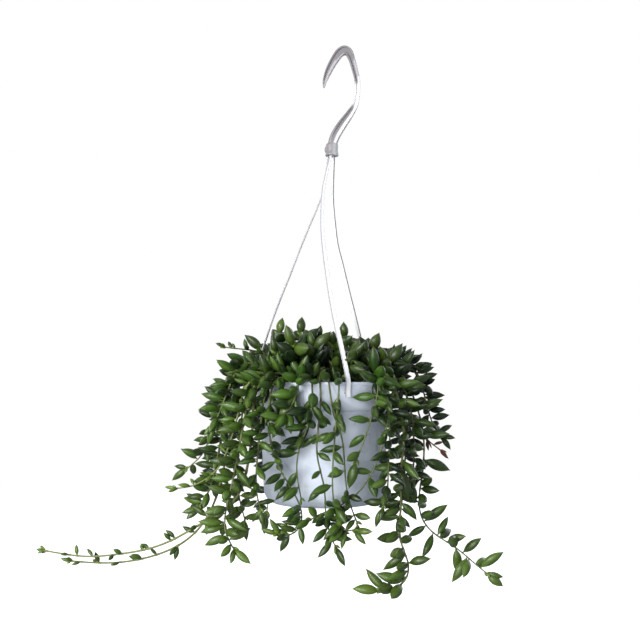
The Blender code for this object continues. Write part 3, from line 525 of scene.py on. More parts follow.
onLeaf = {"Along": "leafAlong", "Around": "leafAround", "Tone": "leafTone", "Youth": "leafYouth"}
onStem = {"Tone": "leafTone", "Youth": "leafYouth"}
hangerPlastic = newMaterial("hangerPlastic", plasticPattern, {
    "Plastic": (0.93, 0.93, 0.96, 1), "Shade": (0.8, 0.79, 0.82, 1), "Clouds": 0.25, "Flow": 0.15,
    "Stains": 0.05, "Gloss": 0.34}, 0.15, 0.0003)
pottingMix = newMaterial("pottingMixSurface", crumbly(), {}, 0.8, 0.0015)
finishes = {
    "pot": newMaterial("potPlastic", plasticPattern, {
        "Clouds": 0.4, "Flow": 0.14, "Stains": 0.5, "CreaseShadeAmount": 0.75}, 0.25, 0.0006,
        Coat_Weight=0.12, Coat_Roughness=0.25),
    # the hanger's painted shade is read from its mesh
    "hanger": readAttributes(hangerPlastic, {"PaintedShadeAmount": "paintedShadeLevel"}),
    "soil": readAttributes(pottingMix, {"Kind": "crumbKind"}),
    "leaf": leafMaterial("leafSkin", onLeaf, {}, Coat_Weight=0.12, Coat_Roughness=0.18,
                         Specular_IOR_Level=0.45),
    "stem": leafMaterial("stemSkin", onStem, {
        "Along": 0.6, "Around": 0.4, "Deep": (0.05, 0.065, 0.018, 1), "Fresh": (0.13, 0.17, 0.045, 1),
        "Young": (0.2, 0.22, 0.06, 1), "Bloom": 0.15, "Gloss": 0.45}),
    "witheredLeaf": leafMaterial("witheredSkin", onLeaf, {
        "Deep": (0.045, 0.011, 0.007, 1), "Fresh": (0.19, 0.05, 0.025, 1), "Young": (0.3, 0.12, 0.06, 1),
        "Stalk": (0.25, 0.13, 0.07, 1), "Bloom": 0.1, "Gloss": 0.6}),
    "witheredStem": leafMaterial("witheredStemSkin", onStem, {
        "Along": 0.6, "Around": 0.4, "Deep": (0.1, 0.05, 0.03, 1), "Fresh": (0.22, 0.12, 0.07, 1),
        "Young": (0.3, 0.17, 0.1, 1), "Gloss": 0.7}),
}
print("materials ready:", len(finishes))


# The pot

potSizes = {
    "sides": 144,
    "rimRadius": 70,
    "lipHeight": 3.4,
    "lipRounding": 0.9,
    "bandRadius": 68.9,
    "bandFootRadius": 68.1,
    "bandHeight": 28,
    "bandLedge": 1.0,
    "bodyRadius": 66.8,
    "bodyFootRadius": 62.6,
    "height": 125,
    "cornerRadius": 14,
    "wall": 1.8,
    "footInnerRadius": 40,
    "footHeight": 2.4,
    "drains": 6,
    "drainRing": 26,
    "drainRadius": 4,
    "slotTop": -8,
    "slotHeight": 3.6,
    "slotWidth": 5.4,
    "waveFade": 12,
    "wallSteps": 16,
    "cutMargin": 2,
    "drainSides": 24,
    # how far the thin wall bulges in and out, how fine the waves are round the wall and down it, and
    # the strength and fineness of the smaller ones on them
    "waves": {"depth": 0.32, "around": 2.6, "down": 0.022, "smaller": (0.4, 2.7)},
    # a small moulding pit under the band, just left of the front tape's foot
    "pit": {"azimuth": 14, "height": -33.5, "radius": 0.9, "sink": 0.5},
}


def bodyRadiusAt(height):
    # the outside of the tapered wall at a height under the band
    size = potSizes
    top = -size["bandHeight"] - size["bandLedge"]
    share = (top - height) / (size["height"] - size["cornerRadius"] + top)
    return size["bodyRadius"] + (size["bodyFootRadius"] - size["bodyRadius"]) * clamped(share)


def potProfile():
    # from the middle of the underside up the outside, over the lip and down the inside; the small
    # bare offsets round the foot, the ledge and the lip
    size = potSizes
    steps = size["wallSteps"]
    base = -size["height"]
    under = base + size["footHeight"]
    floor = under + size["wall"]
    rounding = size["lipRounding"]
    cornerCentre = size["bodyFootRadius"] - size["cornerRadius"]
    cornerHeight = base + size["cornerRadius"]
    ledge = -size["bandHeight"] - size["bandLedge"]
    foot = size["footInnerRadius"]
    wallHeights = [cornerHeight + (ledge - cornerHeight) * step / steps for step in range(1, steps)]
    profile = [(0, under), (foot - 1, under), (foot - 0.3, under - 0.3)]
    profile += [(foot, base + 0.6), (foot + 0.6, base)]
    profile += arcPoints(cornerCentre, cornerHeight, size["cornerRadius"], -90, 0, 12)
    profile += [(bodyRadiusAt(height), height) for height in wallHeights]
    profile += [(size["bodyRadius"], ledge), (size["bodyRadius"] + 0.5, ledge + 0.2),
                (size["bandFootRadius"] - 0.25, -size["bandHeight"] - 0.1),
                (size["bandFootRadius"], -size["bandHeight"] + 0.3)]
    profile += [(size["bandRadius"] + (size["bandFootRadius"] - size["bandRadius"]) * share,
                 -size["lipHeight"] - (size["bandHeight"] - size["lipHeight"]) * share)
                for share in (0.85, 0.6, 0.3, 0.05)]
    profile += [(size["bandRadius"] + 0.1, -size["lipHeight"] - 0.1),
                (size["rimRadius"] - 0.25, -size["lipHeight"] + 0.25)]
    profile += arcPoints(size["rimRadius"] - rounding, -rounding, rounding, 0, 90, 6)
    innerTop = size["bandRadius"] - size["wall"]
    profile += arcPoints(innerTop + rounding, -rounding, rounding, 90, 180, 4)
    profile += [(innerTop, -size["bandHeight"] + size["wall"]), (size["bodyRadius"] - size["wall"], ledge)]
    profile += [(bodyRadiusAt(height) - size["wall"], height) for height in reversed(wallHeights)]
    inner = arcPoints(cornerCentre, cornerHeight, size["cornerRadius"] - size["wall"], 0, -90, 8)
    profile += inner[:-2] + [(inner[-2][0], floor + 0.3), (inner[-2][0] - 2, floor), (0, floor)]
    return [(radius * mm, height * mm) for radius, height in profile]


def bulgeWall(mesh):
    # the thin wall is not quite true: soft waves that fade out at the band and the bottom
    size = potSizes
    top, bottom = -size["bandHeight"] - 3, -size["height"] + size["cornerRadius"]
    ease, waves = size["waveFade"], size["waves"]
    strength, fineness = waves["smaller"]
    for vertex in mesh.vertices:
        height = vertex.co.z / mm
        fade = clamped((top - height) / ease) * clamped((height - bottom) / ease)
        if fade > 0:
            turn = math.atan2(vertex.co.y, vertex.co.x)
            spot = Vector((math.cos(turn) * waves["around"], math.sin(turn) * waves["around"],
                           height * waves["down"]))
            bulge = noise.noise(spot) + strength * noise.noise(spot * fineness)
            outward = Vector((math.cos(turn), math.sin(turn), 0))
            vertex.co += outward * bulge * fade * waves["depth"] * mm


def makePot():
    size = potSizes
    body = turnProfile(potProfile(), size["sides"])
    pot = newObject("hangingPot", meshFromBmesh("hangingPot", body), [finishes["pot"]])
    cutters = []
    for azimuth, _ in tapes.values():
        outward = directionAt(azimuth)
        centre = outward * (size["bandRadius"] - size["wall"] / 2) * mm
        centre.z = (size["slotTop"] - size["slotHeight"] / 2) * mm
        cutters.append(boxBody((size["wall"] * 3 * mm, size["slotWidth"] * mm, size["slotHeight"] * mm),
                               centre, outward))
    low = -size["height"] - size["cutMargin"]
    high = -size["height"] + size["footHeight"] + size["wall"] + size["cutMargin"]
    radius = size["drainRadius"] * mm
    for index in range(size["drains"]):
        centre = directionAt(360 * index / size["drains"]) * size["drainRing"] * mm
        cutters.append(turnProfile([(0, low * mm), (radius, low * mm), (radius, high * mm), (0, high * mm)],
                                   size["drainSides"], centre))
    pit = size["pit"]
    reach = bodyRadiusAt(pit["height"] - pit["sink"]) + pit["sink"]
    place = directionAt(pit["azimuth"]) * reach * mm + Vector((0, 0, pit["height"] * mm))
    spot = bmesh.new()
    bmesh.ops.create_icosphere(spot, subdivisions=2, radius=pit["radius"] * mm)
    bmesh.ops.translate(spot, vec=place, verts=spot.verts)
    cutters.append(spot)
    combineBodies(pot, cutters, "DIFFERENCE")
    bulgeWall(pot.data)
    placePiece(pot, ["pot"])


# The soil

soilSizes = {
    "sides": 120,
    "rings": 34,
    "drop": 17,       # under the rim
    "gap": 0.3,       # to the pot's wall
    "roughness": 1.5,
    "lumpSize": 0.09,
    "lumps": ((0.6, 1.0), (0.3, 3.1), (0.2, 8.3)),   # strength and fineness of each size of lump
    "crumbs": 430,
    "crumbSize": (0.7, 2.1),
    "crumbStretch": ((0.7, 1.5), (0.6, 1.1), (0.5, 0.9)),
    "crumbLumps": 0.35,
    "crumbRise": 0.15,     # share of its radius by which a crumb's middle stands over the surface
    "kinds": (0.1, 0.1, 0.1, 0.7, 0.7, 1.0),   # peat, bark and pale grains, as often as they stand here
    "seed": 11,
}


def soilHeight(x, y):
    # height of the lumps over the mean surface
    size = soilSizes
    spot = Vector((x * size["lumpSize"], y * size["lumpSize"], 3.1))
    return size["roughness"] * sum(strength * noise.noise(spot * fineness)
                                   for strength, fineness in size["lumps"])


def makeSoil():
    # follows the pot's inside; the bare numbers are the small offsets round its corners
    size = soilSizes
    wall = potSizes["wall"] + size["gap"]
    floor = -potSizes["height"] + potSizes["footHeight"] + wall
    low = potSizes["bodyFootRadius"] - wall
    edge = potSizes["bodyRadius"] - wall - 0.4
    top = -size["drop"]
    profile = [(0, floor), (low - 11, floor), (low - 3.6, floor + 3.6), (low, floor + 11)]
    profile += [(edge - 0.1, -potSizes["bandHeight"] - 2), (edge, top - 1.6), (edge - 1, top - 0.4)]
    profile += [((edge - 2) * step / size["rings"], top) for step in range(size["rings"], 0, -1)]
    profile += [(0, top)]
    bm = turnProfile([(radius * mm, height * mm) for radius, height in profile], size["sides"])
    for vertex in bm.verts:
        if vertex.co.z > (top - 0.5) * mm:
            vertex.co.z += soilHeight(vertex.co.x / mm, vertex.co.y / mm) * mm
    kind = bm.verts.layers.float.new("crumbKind")
    draw = random.Random(size["seed"])
    for _ in range(size["crumbs"]):
        radius = draw.uniform(*size["crumbSize"])
        reach, turn = (edge - 3) * math.sqrt(draw.random()), draw.uniform(0, math.tau)
        x, y = reach * math.cos(turn), reach * math.sin(turn)
        crumbKind = draw.choice(size["kinds"])
        made = bmesh.ops.create_icosphere(bm, subdivisions=1, radius=1)["verts"]
        stretch = Vector([draw.uniform(*span) for span in size["crumbStretch"]]) * radius
        for vertex in made:
            lump = 1 + size["crumbLumps"] * noise.noise(vertex.co * 1.7 + Vector((x, y, radius)))
            vertex.co = Vector(vertex.co * stretch) * lump
        turnBy = Vector((1, 0, 0)).rotation_difference(directionAt(draw.uniform(0, 360))).to_matrix()
        middle = Vector((x, y, top + soilHeight(x, y) + radius * size["crumbRise"]))
        for vertex in made:
            vertex.co = (turnBy @ vertex.co + middle) * mm
            vertex[kind] = crumbKind
    soil = newObject("pottingSoil", meshFromBmesh("pottingSoil", bm, 60), [finishes["soil"]])
    placePiece(soil, ["soil"])


# The hanger: a hook with a collar, and three flat tapes

hookSizes = {
    # from the tip to the collar: x, z and half of the width seen from the front
    "route": [(0, 315, 0.9), (1, 322, 2.3), (4, 330.5, 3.4), (8, 339, 4), (13, 347.5, 4.5),
              (17.4, 353.2, 4.8), (22.4, 355.6, 5.0), (27, 352.8, 4.2), (30.2, 345, 3.4), (33, 335, 3.1),
              (35.5, 324, 2.9), (36, 311, 2.7), (33.8, 297, 3.1), (28, 286.5, 4.1), (19.5, 274.5, 5),
              (13, 264, 5.2), (9.8, 256, 5), (8.8, 251, 4.8)],
    "step": 1.6,
    "halfDepth": 3.1,
    "edge": 1.04,         # how far the rounded edge stands out, as a share of the half width
    "grooveStart": 0.06,  # share of the way over which the grooves deepen behind the tip
    "grooveEnd": 0.97,    # and where they have run out before the collar, over the next share
    "grooveFade": 0.08,
    "tipSize": 0.6,
    "tipLength": 0.5,
    "collarCentre": (8.6, 0),
    "collarTop": 254,
    "collarFoot": 240.5,
    "collarSides": 64,
    "knobOffset": -5.6,   # from the collar's axis to the small knob at its side
    "knobSize": (2.4, 3.2, 3.8),
    "socketDepth": 6,
    "socketRoom": (1, 0.9),   # more than the tape's thickness and width
}

# across the hook's face from its middle to its edge: place, depth with the groove, plain depth
hookFace = ((0.0, 0.5, 1.0), (0.3, 0.5, 0.96), (0.44, 0.52, 0.91), (0.52, 0.66, 0.87), (0.58, 0.93, 0.82),
            (0.66, 1.0, 0.76), (0.8, 1.0, 0.62), (0.92, 0.86, 0.42), (1.0, 0.52, 0.2))

tapeSizes = {
    "widthTop": 2.6,
    "widthFoot": 5.6,
    "widening": 0.8,   # how evenly it widens; 1 is a straight taper
    "thickness": 1.3,
    "crown": 0.08,     # how far the middle of the outer face stands out
    "step": 2.2,
    "edge": 0.3,       # rounding of the long edges
    "greyLine": 1.2,   # width over which the painted shade on an edge fades
    "paintedGreyness": {"front": (-1, 0.8), "left": (1, 0.7), "right": (-1, 1.0)},   # which edge gets painted shade, and how grey
    "teeth": 0.32,     # saw teeth along the edges near the foot
    "toothPitch": 4.2,
    "toothedLength": 52,
    "plainFoot": 14,
    "neckHeight": 239.5,
    "foot": -15,
    "fitGap": 0.3,
    "pegWidth": 4.4,
    "pegHeight": 1.8,
    "pegLipRise": 1.6,
    "pegLipThickness": 1.4,
    "pegRounding": 0.25,
}

# azimuth at the rim, and the centreline from the collar to the rim
tapes = {
    "front": (19, [(7, -3.5, 246), (5.8, -4.2, 233), (2.4, -6, 219), (-1.2, -9, 197), (-2, -18, 163),
                   (0, -26, 136), (4, -36, 104), (8, -44, 78), (12, -52, 57), (17.5, -60.5, 32)]),
    "left": (-101, [(4.6, 1.4, 246), (3.4, 1.5, 231), (-0.6, 2, 204), (-6, 3, 188), (-17, 5, 162),
                    (-26, 6.4, 140), (-36, 8.2, 114), (-47, 10, 87), (-58, 12, 57), (-67.5, 13.2, 26)]),
    "right": (139, [(10.6, 2.9, 246), (10.2, 4, 231), (9.2, 9, 206), (9.6, 12.5, 190), (11.6, 18.5, 169),
                    (14.5, 24.5, 148), (20, 30.5, 127), (26.5, 38, 101), (34, 46, 72), (42, 52.5, 38)]),
}


def hookSections():
    # the middle number of each point carries the half width through the smoothing
    size = hookSizes
    smooth = smoothRoute([Vector((x, half, z)) * mm for x, z, half in size["route"]], size["step"] * mm)
    route = [Vector((point.x, 0, point.z)) for point in smooth]
    sections = []
    for index, point in enumerate(route):
        along = tangentAt(route, index)
        side = Vector((along.z, 0, -along.x))
        halfWidth = smooth[index].y
        halfDepth = min(size["halfDepth"] * mm, halfWidth)
        # the grooves run out before the tip and before the collar
        share = index / (len(route) - 1)
        grooved = min(1.0, share / size["grooveStart"])
        grooved *= clamped((size["grooveEnd"] - share) / size["grooveFade"])
        quarter = [(place, plain + (deep - plain) * grooved) for place, deep, plain in hookFace]
        outline = quarter + [(size["edge"], 0.0)] + [(place, -depth) for place, depth in reversed(quarter)]
        outline += [(-place, -depth) for place, depth in quarter[1:]] + [(-size["edge"], 0.0)]
        outline += [(-place, depth) for place, depth in reversed(quarter[1:])]
        sections.append([point + side * halfWidth * u + Vector((0, 1, 0)) * halfDepth * v
                         for u, v in outline])
    # a rounded tip
    first = middleOf(sections[0])
    back = (route[0] - route[1]).normalized() * size["tipLength"] * mm
    return [[first + (corner - first) * size["tipSize"] + back for corner in sections[0]]] + sections


# painted shade on the hook: where it is painted grey, and where painted light leaves it white
hookShading = {
    "towards": (-0.8, 0, 0.6),      # painted shade lies in the recess on this side, away from the light
    "band": (-0.4, 0.02),           # from and to, as shares of the half width
    "line": -0.72,                  # a thin grey line on the other side
    "paintedLightHeights": (290, 298, 315, 323),  # heights between which painted light leaves the far limb white
    "crown": (341, 350),            # above these heights the grey spreads to the inner side
    "crownSpread": 0.5,
    "tipLimb": 0.68,                # the inner side of the limb with the tip
    "nearLine": 0.85,               # that line's grey on the limb with the tip, and on the other
    "farLine": 0.7,
    # how far the painted light clears the grey
    "whiteness": 0.8,
    "collar": (1.0, 0.42),          # painted shade left and right of the collar, darker on the left
    "collarFade": (-0.3, 0.8),      # from and to, as shares of the collar's radius
    "collarRadius": 6,
}


def hookShade(sections):
    # painted shade: grey recesses and edge lines on the side away from the light, cleared by painted light on
    # the far limb
    look = hookShading
    centres = [middleOf(section) for section in sections]
    tree = pointTree(centres)
    collarTop = hookSizes["collarTop"] * mm

    def shadeAt(point):
        if point.z < collarTop:
            across = (point.x / mm - hookSizes["collarCentre"][0]) / look["collarRadius"]
            left, right = look["collar"]
            return left + (right - left) * eased(across, *look["collarFade"])
        centre, index, _ = tree.find(point)
        half = max((corner - centre).length for corner in sections[index])
        height = centre.z / mm
        across = (point - centre).dot(Vector(look["towards"])) / half
        across += look["crownSpread"] * eased(height, *look["crown"])
        paintedLight = eased(height, *look["paintedLightHeights"][:2]) * (1 - eased(height, *look["paintedLightHeights"][2:]))
        onLine = across < look["line"]
        if index < len(centres) / 2:
            return max(eased(across, *look["band"]), look["nearLine"] if onLine else look["tipLimb"])
        paintedGreyness = eased(across, *look["band"]) * (1 - look["whiteness"] * paintedLight)
        return max(paintedGreyness, look["farLine"] if onLine else 0)

    return shadeAt


def collarProfile():
    # a ring with a rounded top, a waist and a wider foot
    top, foot = hookSizes["collarTop"], hookSizes["collarFoot"]
    profile = [(0, top), (3.8, top)] + arcPoints(4.4, top - 2.2, 2.2, 90, 0, 6)[:-1]
    profile += [(6.6, top - 3.4), (6.45, (top + foot) / 2), (6.6, foot + 3.6), (6.9, foot + 2.6)]
    profile += [(7.1, foot + 1.8), (7.1, foot + 0.7), (6.8, foot + 0.1), (6.4, foot), (0, foot)]
    return [(radius * mm, height * mm) for radius, height in profile]


def makeHook():
    size = hookSizes
    sections = hookSections()
    hook = newObject("hangerHook", meshFromBmesh("hangerHook", sweepSections(sections)), [finishes["hanger"]])
    top, foot = size["collarTop"], size["collarFoot"]
    centre = Vector((*size["collarCentre"], 0)) * mm
    combineBodies(hook, [turnProfile(collarProfile(), size["collarSides"], centre)], "UNION")
    knob = bmesh.new()
    bmesh.ops.create_uvsphere(knob, u_segments=24, v_segments=14, radius=mm)
    bmesh.ops.scale(knob, vec=size["knobSize"], verts=knob.verts)
    knobPlace = centre + Vector((size["knobOffset"], 0, (top + foot) / 2)) * mm
    bmesh.ops.translate(knob, vec=knobPlace, verts=knob.verts)
    combineBodies(hook, [knob], "UNION")
    socket = ((tapeSizes["thickness"] + size["socketRoom"][0]) * mm,
              (tapeSizes["widthTop"] + size["socketRoom"][1]) * mm, size["socketDepth"] * 2 * mm)
    sockets = []
    for azimuth, points in tapes.values():
        head = Vector((points[0][0], points[0][1], foot)) * mm
        sockets.append(boxBody(socket, head, directionAt(azimuth)))
    combineBodies(hook, sockets, "DIFFERENCE")
    paintShadeOnMesh(hook, hookShade(sections))
    placePiece(hook, ["hook"])


def tapeRoute(azimuth, points, step):
    # over the rim's outside, then down to its foot
    size = tapeSizes
    outward = directionAt(azimuth)
    clear = (potSizes["rimRadius"] + size["fitGap"] + size["thickness"] / 2 + 0.1) * mm
    head = Vector(points[0]) * mm
    route = [Vector((head.x, head.y, size["neckHeight"] * mm))]
    route += [Vector(point) * mm for point in points[1:]]
    route += [outward * clear + Vector((0, 0, height * mm)) for height in (3, size["foot"] / 2, size["foot"])]
    return [head] + smoothRoute(route, step * mm)


def tapeSections(azimuth, points):
    size = tapeSizes
    outward = directionAt(azimuth)
    across = Vector((-outward.y, outward.x, 0))
    route = tapeRoute(azimuth, points, size["step"])
    lengths = [length / mm for length in routeLengths(route)]
    sections = []
    for index, point in enumerate(route):
        along = tangentAt(route, index)
        wide = (across - along * across.dot(along)).normalized()
        thick = along.cross(wide)
        share = lengths[index] / lengths[-1]
        widening = share ** size["widening"]
        halfWidth = (size["widthTop"] + (size["widthFoot"] - size["widthTop"]) * widening) / 2
        left = lengths[-1] - lengths[index]
        if size["plainFoot"] < left < size["toothedLength"]:
            halfWidth -= size["teeth"] * (left / size["toothPitch"] % 1.0)
        halfDepth, edge = size["thickness"] / 2, size["edge"]
        line = size["greyLine"]
        half = [(-halfWidth, halfDepth - edge), (-halfWidth, -halfDepth + edge),
                (-halfWidth + edge, -halfDepth), (-halfWidth + line, -halfDepth)]
        corners = half + [(-u, v) for u, v in reversed(half)]
        corners += [(halfWidth - edge, halfDepth), (halfWidth - line, halfDepth),
                    (0, halfDepth + size["crown"]),
                    (-halfWidth + line, halfDepth), (-halfWidth + edge, halfDepth)]
        sections.append([point + (wide * u + thick * v) * mm for u, v in corners])
    return sections


def tapeShade(sections, side, paintedGreyness):
    # painted shade along one long edge of the tape
    centres = [middleOf(section) for section in sections]
    tree = pointTree(centres)

    def shadeAt(point):
        centre, index, _ = tree.find(point)
        # the first and the eighth corner of a section are its two outer edges
        wide = sections[index][7] - sections[index][0]
        offset = (point - centre).dot(wide.normalized()) * side / mm
        return paintedGreyness if offset > wide.length / 2 / mm - tapeSizes["edge"] - 0.05 else 0.0

    return shadeAt


def makeTape(name, azimuth, points):
    # a flat tape with a peg through the pot's slot and a lip turned up behind the wall
    size = tapeSizes
    sections = tapeSections(azimuth, points)
    strip = meshFromBmesh("tape", sweepSections(sections))
    tape = newObject("tape_" + name + "_strip", strip, [finishes["hanger"]])
    outward = directionAt(azimuth)
    pegTop = potSizes["slotTop"] - size["fitGap"]
    lipOuter = potSizes["bandRadius"] - potSizes["wall"] - size["fitGap"] - 0.3
    lipInner = lipOuter - size["pegLipThickness"]
    pegOuter = potSizes["rimRadius"] + size["fitGap"] + size["thickness"] * 0.6
    rise = size["pegHeight"] + size["pegLipRise"]

    def block(inner, outer, low, high):
        centre = outward * (outer + inner) / 2 * mm + Vector((0, 0, (low + high) / 2 * mm))
        extent = ((outer - inner) * mm, size["pegWidth"] * mm, (high - low) * mm)
        return boxBody(extent, centre, outward, size["pegRounding"] * mm)

    peg = block(lipInner, pegOuter, pegTop - size["pegHeight"], pegTop)
    lip = block(lipInner, lipOuter, pegTop - size["pegHeight"], pegTop - size["pegHeight"] + rise)
    combineBodies(tape, [peg, lip], "UNION")
    paintShadeOnMesh(tape, tapeShade(sections, *size["paintedGreyness"][name]))
    placePiece(tape, ["tape_" + name])


makePot()
makeSoil()
makeHook()
for tapeName, (tapeAzimuth, tapeCourse) in tapes.items():
    makeTape(tapeName, tapeAzimuth, tapeCourse)
print("pot, soil and hanger made")


# The plant: stems and leaves as its solids have them

growth = {
    "stemRadius": 1.25 * mm,
    "stemStep": 6.5 * mm,
    "stemKnotEvery": 2,
    "stemClearance": 5.2 * mm,
    "rimClearance": 0.8 * mm,
    "wallClearance": 1 * mm,
    "rimZone": 7 * mm,
    "tapeClearance": 1.6 * mm,
    "tapeStep": 11,
    "routeRounds": 40,
    "routeEasing": 0.12,
    "chordRounds": 24,
    "chordClearance": 1.2 * mm,
    "chordShares": (0.1, 0.3, 0.5, 0.7, 0.9),
    "rootDepth": 9 * mm,
    "rootEndGap": 1.5 * mm,
    "rootRing": 54 * mm,
    "rootSpacing": 8 * mm,
    "rootRounds": 60,
    "atSoil": 0.5 * mm,        # height over the soil of a stem's second point and of its third
    "overSoil": 5 * mm,
    "push": 0.55,              # share of a gap too small that one step makes up
    "chordPush": 0.6,
    "potPush": 1.2,
    "potRoom": 0.6 * mm,
    "tapeSpots": 3 * mm,
    "ballStep": 2 * mm,        # spacing of the balls that stand for a stem, and their size over its radius
    "stemBall": 1.3,
    # balls along a leaf: place, and size as a share of its radius
    "leafBalls": ((0.2, 0.64), (0.36, 0.96), (0.52, 0.98), (0.68, 0.89), (0.84, 0.45), (0.97, 0.09)),
    "rimRoom": 1.6 * mm,       # kept by leaves to the inside of the wall, its outside and the soil
    "wallRoom": 0.5 * mm,
    "soilRoom": 0.6 * mm,
    "leafGap": 0.45 * mm,
    "leafCrowding": 0.9,
    "leafSpacing": 1.58,
    "spacingSpread": (0.8, 1.2),
    "lengthSpread": (0.92, 1.22),
    "tipRoom": 3 * mm,         # no leaf but the last stands nearer the tip than this
    "tipBack": 0.8 * mm,
    "leanOfTrails": 0.8,
    "leanOfShoots": 0.45,
    "leafFatness": (0.205, 0.24),   # radius over length
    "leafTries": 9,
    "firmTries": 5,
    "shortLeaf": 0.8,
    "outward": 0.8,            # how much a leaf points away from its stem, and along it
    "forward": 0.25,
    "tipSpread": 0.15,
    "tipLean": 0.1,
    "swingStep": 0.6,
    "endOn": 0.93,
    "goldenAngle": math.radians(137.5),
}

wallSizes = {key: value * mm for key, value in potSizes.items() if not isinstance(value, dict)}
soilDrop = soilSizes["drop"] * mm
tapeWidth = tapeSizes["widthFoot"] * mm

